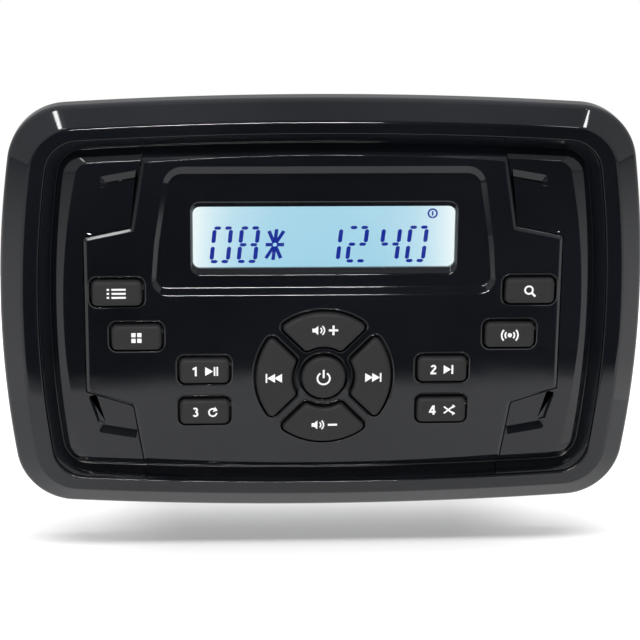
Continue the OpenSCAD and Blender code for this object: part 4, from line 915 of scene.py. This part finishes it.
def sign_outlines():
    """The sign on each key, as outlines in millimetres from the middle of the key's top."""
    loop = [bow(2.1, -0.1, 1.0, 66, 352, 0.42), np.array([[2.1, 0.05], [3.35, 0.4], [2.65, 1.45]])]
    cross = [stroke(0.7, -0.9, 3.0, 0.9, 0.42), stroke(0.7, 0.9, 3.0, -0.9, 0.42), wedge(3.3, 0.95, 0.8, 1.1),
             wedge(3.3, -0.95, 0.8, 1.1)]
    one = [np.array([[-2.45, -1.27], [-1.95, -1.27], [-1.95, 1.27], [-2.3, 1.27], [-3.0, 0.85], [-3.0, 0.35],
                     [-2.45, 0.62]])]
    two = [bow(-2.3, 0.53, 0.5, 165, -38, 0.48), stroke(-1.86, 0.33, -2.9, -1.0, 0.5), bar(-2.3, -1.04, 1.5, 0.46)]
    three = [bow(-2.4, 0.58, 0.46, 150, -90, 0.46), bow(-2.4, -0.49, 0.55, 90, -150, 0.48)]
    four = [bar(-1.98, 0, 0.5, 2.54), bar(-2.3, -0.5, 1.75, 0.44), stroke(-2.97, -0.45, -2.12, 1.15, 0.46)]
    lines, dots = ([bar(x, z, w, 0.5) for z in (-1.05, 0, 1.05)] for x, w in ((0.5, 3.6), (-2.2, 0.6)))
    waves = [bow(0, 0, r, a - 42, a + 42, 0.42) for r in (1.2, 2.1) for a in (0, 180)]
    return {
        "key_select": [*lines, *dots],
        "key_mode": [bar(x, z, 1.1, 1.1) for x in (-0.75, 0.75) for z in (-0.75, 0.75)],
        "key_scan": [bow(-0.3, 0.3, 1.0, -44, 314, 0.45), stroke(0.4, -0.4, 1.4, -1.4, 0.55)],
        "key_band": [arc((0, 0), 0.57, 0, 345, 24), *waves],
        "key_1": [*one, wedge(1.2, 0, 2.0, 2.4), bar(2.6, 0, 0.42, 2.4), bar(3.3, 0, 0.42, 2.4)],
        "key_2": [*two, wedge(1.3, 0, 1.9, 2.4), bar(2.6, 0, 0.48, 2.4)],
        "key_3": [*three, *loop],
        "key_4": [*four, *cross],
        "key_volume_up": [*speaker(-1.7), bar(2.4, 0, 2.4, 0.55), bar(2.4, 0.8, 0.55, 0.95),
                          bar(2.4, -0.8, 0.55, 0.95)],
        "key_volume_down": [*speaker(-1.7), bar(2.4, 0, 2.4, 0.55)],
        "key_previous": [bar(-1.95, 0, 0.42, 2.4), wedge(-0.75, 0, -2.0, 2.4), wedge(1.05, 0, -2.0, 2.4)],
        "key_next": [bar(1.95, 0, 0.42, 2.4), wedge(0.75, 0, 2.0, 2.4), wedge(-1.05, 0, 2.0, 2.4)],
        "key_power": [bow(0, -0.15, 1.6, 122, 418, 0.46), bar(0, 1.05, 0.5, 2.2)],
    }


class StereoLegends(Step, bpy.types.Operator):
    """Prints plain figures and common signs on the key tops"""

    bl_idname = "stereo.legends"
    bl_label = "Legends"

    def build(self, scene):
        k = scene.stereo_keys
        out = (k.petal_in + k.petal_out) / 2
        for name, outlines in sign_outlines().items():
            top_f, at, skin = -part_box(name)[0].y, middle(name), Skin()
            if name in PETAL_KEYS:
                at = middle("key_power") + out * ray(PETAL_KEYS[name])
            for outline in outlines:
                skin.prism(outline * MM + at, top_f - k.print_t, top_f + k.print_t)
            skin.piece(name + "_legend", name + "_body", print_with_painted_glow(), "key_rubber")


def pointed(start, stop, across, half, point):
    """A bar between two places on a line, with pointed ends, as places along the line and across it."""
    return np.array([[start, across], [start + point, across - half], [stop - point, across - half], [stop, across],
                     [stop - point, across + half], [start + point, across + half]])


def display_bars(s, lit):
    """Outlines of a figure's lit bars about its middle: upright bars with pointed ends, and cross bars in two
    halves, sheared by the slant. The star has eight rays, the level ones shorter."""
    w, h, t, g = s.figure_w, s.figure_h, s.stroke, s.bar_gap
    x, z = w / 2 - t / 2, h / 2 - 0.4 * t
    inner, top = w / 2 - 0.3 * MM, z - g
    shapes = {name: [pointed(low, high, at, 0.4 * t, 0.4 * t) for low, high in ((-inner, -g), (g, inner))]
              for name, at in (("a", z), ("g", 0), ("d", -z))}
    for name, at, low, high in (("b", x, g, top), ("c", x, -top, -g), ("f", -x, g, top), ("e", -x, -top, -g)):
        shapes[name] = [pointed(low, high, -at, t / 2, 0.35 * t)[:, ::-1] * [-1, 1]]
    spokes = ((0, 0.58), (62, 1), (90, 1), (118, 1), (180, 0.58), (242, 1), (270, 1), (298, 1))
    shapes["*"] = [stroke(*0.5 * MM * ray(a), *0.42 * h * part * ray(a), 0.85 * t) for a, part in spokes]
    return [o + np.stack([s.slant * o[:, 1], 0 * o[:, 1]], 1) for name in lit for o in shapes[name]]


class StereoDisplay(Step, bpy.types.Operator):
    """Builds the clear pane and the dark figures of the lit display"""

    bl_idname = "stereo.display"
    bl_label = "Display"

    FIGURES = ((-26.1, "abcdef"), (-19.2, "abcdefg"), (-12.5, "*"), (1.9, "bc"), (8.5, "abged"), (16.9, "fgbc"),
               (23.7, "abcdef"))
    SIGN = (27.6, 25.0)

    def build(self, scene):
        s, skin = scene.stereo_display, Skin()
        front, back = -PANE_LOW.y - 0.05 * MM, -PANE_HIGH.y + 0.5 * MM
        path = eased([[back, 0.2 * MM], [back, 0], [front, 0], [front, 0.2 * MM]], [0.1 * MM] * 2, 4)
        rear, face = skin.walls(path, lambda d: oblong(PANE_W - 2 * d, PANE_H - 2 * d, s.window_r)
                                + middle("display_lens"))
        skin.sheet(back, rear)
        skin.sheet(front, face)
        skin.piece("display_pane", HOUSING, clear_pane(), "clear_lens", "display_lens")
        glass_f, skin = -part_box("lcd_glass")[0].y, Skin()
        outlines = [o + [x * MM, s.figure_up] for x, lit in self.FIGURES for o in display_bars(s, lit)]
        outlines += [bow(*self.SIGN, 1.1, -90, 266, 0.42) * MM, bar(*self.SIGN, 0.4, 1.1) * MM]
        for outline in outlines:
            skin.prism(outline, glass_f - s.ink, glass_f + s.ink)
        skin.piece("display_figures", HOUSING, display_ink(), "display_glass")
        coat(frame["nodes"]["lcd_glass"], lit_display())


def coat(node, material):
    """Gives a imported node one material."""
    node.data.materials.clear()
    node.data.materials.append(material)


class StereoFinishes(Step, bpy.types.Operator):
    """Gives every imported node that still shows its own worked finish"""

    bl_idname = "stereo.finishes"
    bl_label = "Inner and rear finishes"

    # For each slot: name, two colours, roughness, metal, coarse and fine grain, bump, height of the bump
    LOOKS = {
        "mat_rubber": ("gasket_rubber", (0.018, 0.018, 0.019), (0.03, 0.03, 0.031),
                       (0.7, 0.85), 0, 120, 2400, 0.5, 0.05),
        "circuit_board": ("green_laminate", (0.01, 0.075, 0.03), (0.018, 0.12, 0.05), (0.3, 0.42), 0, 210, 900, 0.15),
        "brass": ("plated_brass", (0.66, 0.47, 0.16), (0.78, 0.6, 0.25), (0.2, 0.35), 1.0, 500, 3000, 0.1),
        "pin_block": ("pale_nylon", (0.68, 0.65, 0.55), (0.76, 0.73, 0.63), (0.45, 0.6), 0, 200, 2500, 0.2),
        "lamp": ("lamp_resin", (0.9, 0.87, 0.7), (0.97, 0.95, 0.82), (0.2, 0.3), 0, 300, 2000, 0.1),
        "case_black": ("moulded_black", (0.012, 0.012, 0.013), (0.02, 0.02, 0.021),
                       (0.42, 0.58), 0, 90, 3000, 0.5, 0.05),
        "chip_black": ("chip_resin", (0.014, 0.014, 0.015), (0.022, 0.022, 0.023), (0.5, 0.65), 0, 300, 4000, 0.4),
        "capacitor_sleeve": ("blue_sleeve", (0.012, 0.02, 0.09), (0.018, 0.03, 0.12), (0.18, 0.3), 0, 150, 1200, 0.15),
        "copper_winding": ("enamelled_copper", (0.36, 0.12, 0.035), (0.5, 0.2, 0.06),
                           (0.22, 0.35), 0.8, 260, 1800, 0.6, 0.1),
        "tinned_steel": ("tinned_can", (0.6, 0.6, 0.58), (0.72, 0.72, 0.7), (0.2, 0.36), 1.0, 240, 2200, 0.12),
        "module_blue": ("blue_laminate", (0.012, 0.04, 0.2), (0.02, 0.06, 0.28), (0.3, 0.45), 0, 240, 1500, 0.15),
        "dark_aluminium": ("black_anodised", (0.016, 0.016, 0.018), (0.03, 0.03, 0.033),
                           (0.32, 0.5), 0.85, 150, 2600, 0.25),
        "fuse_red": ("red_resin", (0.5, 0.02, 0.012), (0.62, 0.04, 0.02), (0.12, 0.2), 0, 200, 1500, 0.1),
        "light_guide": ("frosted_acrylic", (0.84, 0.88, 0.92), (0.92, 0.95, 0.98), (0.5, 0.65), 0, 200, 3500, 0.3),
        "steel": ("zinc_screw", (0.5, 0.51, 0.52), (0.62, 0.62, 0.6), (0.25, 0.42), 1.0, 300, 2600, 0.15),
    }

    def build(self, scene):
        looks = {slot: finish(*look) for slot, look in self.LOOKS.items()}
        looks["plated_sheet"] = zinc_sheet()
        for part in frame["record"]["subparts"]:
            node, look = frame["nodes"][part["node"]], looks.get(part["material_slot"])
            if look and not node.hide_render:
                coat(node, look)


def flag(name, corners, material):
    """A flat stage card through four corners, given in millimetres."""
    mesh = bpy.data.meshes.new(name)
    mesh.from_pydata(np.array(corners, float) * MM, [], [[0, 1, 2, 3]])
    obj = bpy.data.objects.new(name, mesh)
    bpy.context.scene.collection.objects.link(obj)
    mesh.materials.append(material)
    return obj


def soft_box(name, place, aim, w, h, watts):
    """A rectangular lamp at a place in millimetres, turned to face a point."""
    lamp = bpy.data.lights.new(name, "AREA")
    lamp.shape, lamp.size, lamp.size_y, lamp.energy = "RECTANGLE", w * MM, h * MM, watts
    obj = bpy.data.objects.new(name, lamp)
    at, to = Vector(place) * MM, Vector(aim) * MM
    obj.matrix_world = Matrix.Translation(at) @ (to - at).to_track_quat("-Z", "Y").to_matrix().to_4x4()
    bpy.context.scene.collection.objects.link(obj)
    return obj


class StereoStudio(Step, bpy.types.Operator):
    """Sets the camera, the pale table, the pale surroundings, the reflected cards and the lamps"""

    bl_idname = "stereo.studio"
    bl_label = "Studio"

    # Strips that only reflections show: name, place, aim, width, height and watts
    STRIPS = (
        ("camera_strip", (-22, -560, 118), (0, 0, 0), 170, 12, 1.4),
        ("left_strip", (-380, -303, 898), (-67, -8, 50), 45, 130, 0.42),
        ("right_strip", (410, -272, 896), (66, -8, 50), 45, 130, 0.42),
        ("left_cover_strip", (-301, -459, 841), (-60, -10, 39), 30, 130, 0.15),
        ("right_cover_strip", (277, -580, 762), (59, -10, 39), 30, 130, 0.15),
    )

    def build(self, scene):
        s = scene.stereo_stage
        scene.view_settings.view_transform = "Standard"
        self.camera(scene, s)
        self.surroundings(scene, s)
        z = s.floor_z / MM
        flag("table", [(-3000, -3000, z), (3000, -3000, z), (3000, 260, z), (-3000, 260, z)], self.table(s))
        self.cards(z)
        soft_box("overhead", (0, -60, 800), (0, -60, 0), 1500, 340, 13).visible_glossy = False
        soft_box("behind", (0, 553, 386), (0, 10, z), 900, 160, 5.0).visible_glossy = False
        for strip in self.STRIPS:
            soft_box(*strip).visible_diffuse = False

    @staticmethod
    def cards(z):
        """Cards round the set that only reflections show."""
        plain = {"rough": (0.9, 1.0), "coarse": 20, "fine": 200, "bump": 0}
        dark = finish("black_card", [0.0015] * 3, [0.002] * 3, **plain, Specular_IOR_Level=0)
        grey, pale = (finish(name, [0.01] * 3, [0.02] * 3, **plain, Emission_Color=WHITE, Emission_Strength=glow)
                      for name, glow in (("grey_card", 0.36), ("pale_card", 0.95)))
        just_above = z + 0.2
        for name, look, corners in (
                ("camera_card", dark, [(-230, -720, z), (330, -720, z), (330, -720, 880), (-230, -720, 880)]),
                ("upper_card", grey, [(-230, -720, 880), (450, -720, 880), (450, -235, 900), (-230, -235, 900)]),
                ("under_card", pale, [(-170, -36, just_above), (170, -36, just_above), (170, 60, just_above),
                                      (-170, 60, just_above)]),
                ("back_card", grey, [(-700, 500, z), (700, 500, z), (700, 500, 500), (-700, 500, 500)])):
            card = flag(name, corners, look)
            card.visible_camera = card.visible_diffuse = card.visible_shadow = card.visible_transmission = False

    @staticmethod
    def camera(scene, s):
        """The camera looks from its place to its target, rolled a little about its view."""
        eye, target = Vector(s.eye), Vector(s.target)
        back = (eye - target).normalized()
        right = Vector((0, 0, 1)).cross(back).normalized()
        up = back.cross(right)
        c, n = math.cos(s.roll), math.sin(s.roll)
        right, up = right * c + up * n, up * c - right * n
        data = bpy.data.cameras.new("studio_camera")
        data.lens, data.sensor_width, data.clip_start, data.clip_end = s.lens, 36, 0.01, 20
        camera = bpy.data.objects.new("studio_camera", data)
        camera.matrix_world = Matrix.Translation(eye) @ Matrix((right, up, back)).transposed().to_4x4()
        scene.collection.objects.link(camera)
        scene.camera = camera

    @staticmethod
    def surroundings(scene, s):
        """White to the camera, weaker in reflections and weaker again on matte surfaces."""
        world = scene.world = scene.world or bpy.data.worlds.new("studio")
        world.use_nodes = True
        world.node_tree.nodes.clear()
        wiring = Wiring(world.node_tree)
        path = wiring.add("LightPath", {})
        seen = wiring.sum_of("MAXIMUM", path["Is Camera Ray"], path["Is Transmission Ray"])
        sheen = wiring.ramp(path["Is Glossy Ray"], start=s.fill, stop=s.sheen)
        strength = wiring.ramp(seen, start=sheen, stop=s.sky)
        light = wiring.add("Background", {"Color": WHITE, "Strength": strength})
        wiring.add("OutputWorld", {"Surface": light["Background"]})

    @staticmethod
    def table(s):
        """Pale table top that glows a little, so that it reads white and still takes the shadow. In reflections
        alone it fades, in front of the set, to a dark room in a wedge that widens towards the camera."""
        material, wiring, shader = blank("pale_table")
        sum_of, place = wiring.sum_of, wiring.place()
        split = wiring.add("SeparateXYZ", {"Vector": place})

        def fade(value, low, high):
            return wiring.ramp(value, low * MM, high * MM, kind="SMOOTHSTEP")

        wave = sum_of("MULTIPLY", wiring.noise(place, 38), 30 * MM)
        depth = sum_of("SUBTRACT", sum_of("ADD", split["Y"], wave), s.floor_front + 15 * MM)
        aside = sum_of("ABSOLUTE", sum_of("SUBTRACT", split["X"], 40 * MM))
        flare = sum_of("ADD", aside, sum_of("MULTIPLY", depth, 0.3))
        pale = sum_of("MAXIMUM", fade(depth, -12, 12), fade(flare, 130, 200))
        # Painted reflection: in reflections alone, the table is also a fifth darker far to either side of the set.
        sides_dimmed_in_reflections = sum_of("SUBTRACT", 1.0, sum_of("MULTIPLY", fade(aside, 110, 190), 0.2))
        mirrored = wiring.add("LightPath", {})["Is Glossy Ray"]
        pale = sum_of("MAXIMUM", sum_of("MULTIPLY", pale, sides_dimmed_in_reflections), sum_of("SUBTRACT", 1.0, mirrored))
        shade = wiring.mix(pale, (0.002, 0.002, 0.002, 1), (0.65, 0.65, 0.65, 1))
        wiring.feed(shader, {"Base Color": shade, "Emission Color": shade, "Roughness": 0.8, "Specular IOR Level": 0.0,
                             "Emission Strength": wiring.ramp(mirrored, start=0.33, stop=0.02)})
        return material


class STEREO_PT_dressing(bpy.types.Panel):
    """Lists the building steps and their sizes"""

    bl_idname = "STEREO_PT_dressing"
    bl_label = "Car stereo"
    bl_space_type = "VIEW_3D"
    bl_region_type = "UI"
    bl_category = "Stereo"

    def draw(self, context):
        for operator in STEPS:
            self.layout.operator(operator.bl_idname)
        for group in SETTINGS.values():
            settings = getattr(context.scene, group)
            for name in settings.__annotations__:
                self.layout.prop(settings, name, text=name.replace("_", " ").capitalize())


STEPS = (StereoTrimFrame, StereoKeyPlate, StereoScrewCovers, StereoKeys, StereoLegends, StereoDisplay, StereoFinishes,
         StereoStudio)
SETTINGS = {StereoTrimSizes: "stereo_trim", StereoPlateSizes: "stereo_plate", StereoDisplaySizes: "stereo_display",
            StereoKeySizes: "stereo_keys", StereoColours: "stereo_colours", StereoStage: "stereo_stage"}


def register():
    """Adds the settings, the building steps and the panel."""
    for kind, name in SETTINGS.items():
        bpy.utils.register_class(kind)
        setattr(bpy.types.Scene, name, PointerProperty(type=kind))
    for kind in (*STEPS, STEREO_PT_dressing):
        bpy.utils.register_class(kind)


def unregister():
    """Takes them out again."""
    for kind in (STEREO_PT_dressing, *reversed(STEPS)):
        bpy.utils.unregister_class(kind)
    for kind, name in reversed(SETTINGS.items()):
        delattr(bpy.types.Scene, name)
        bpy.utils.unregister_class(kind)


def main():
    """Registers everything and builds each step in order."""
    register()
    bpy.ops.stereo.trim_frame()
    bpy.ops.stereo.key_plate()
    bpy.ops.stereo.screw_covers()
    bpy.ops.stereo.keys()
    bpy.ops.stereo.legends()
    bpy.ops.stereo.display()
    bpy.ops.stereo.finishes()
    bpy.ops.stereo.studio()


if __name__ == "__main__":
    main()
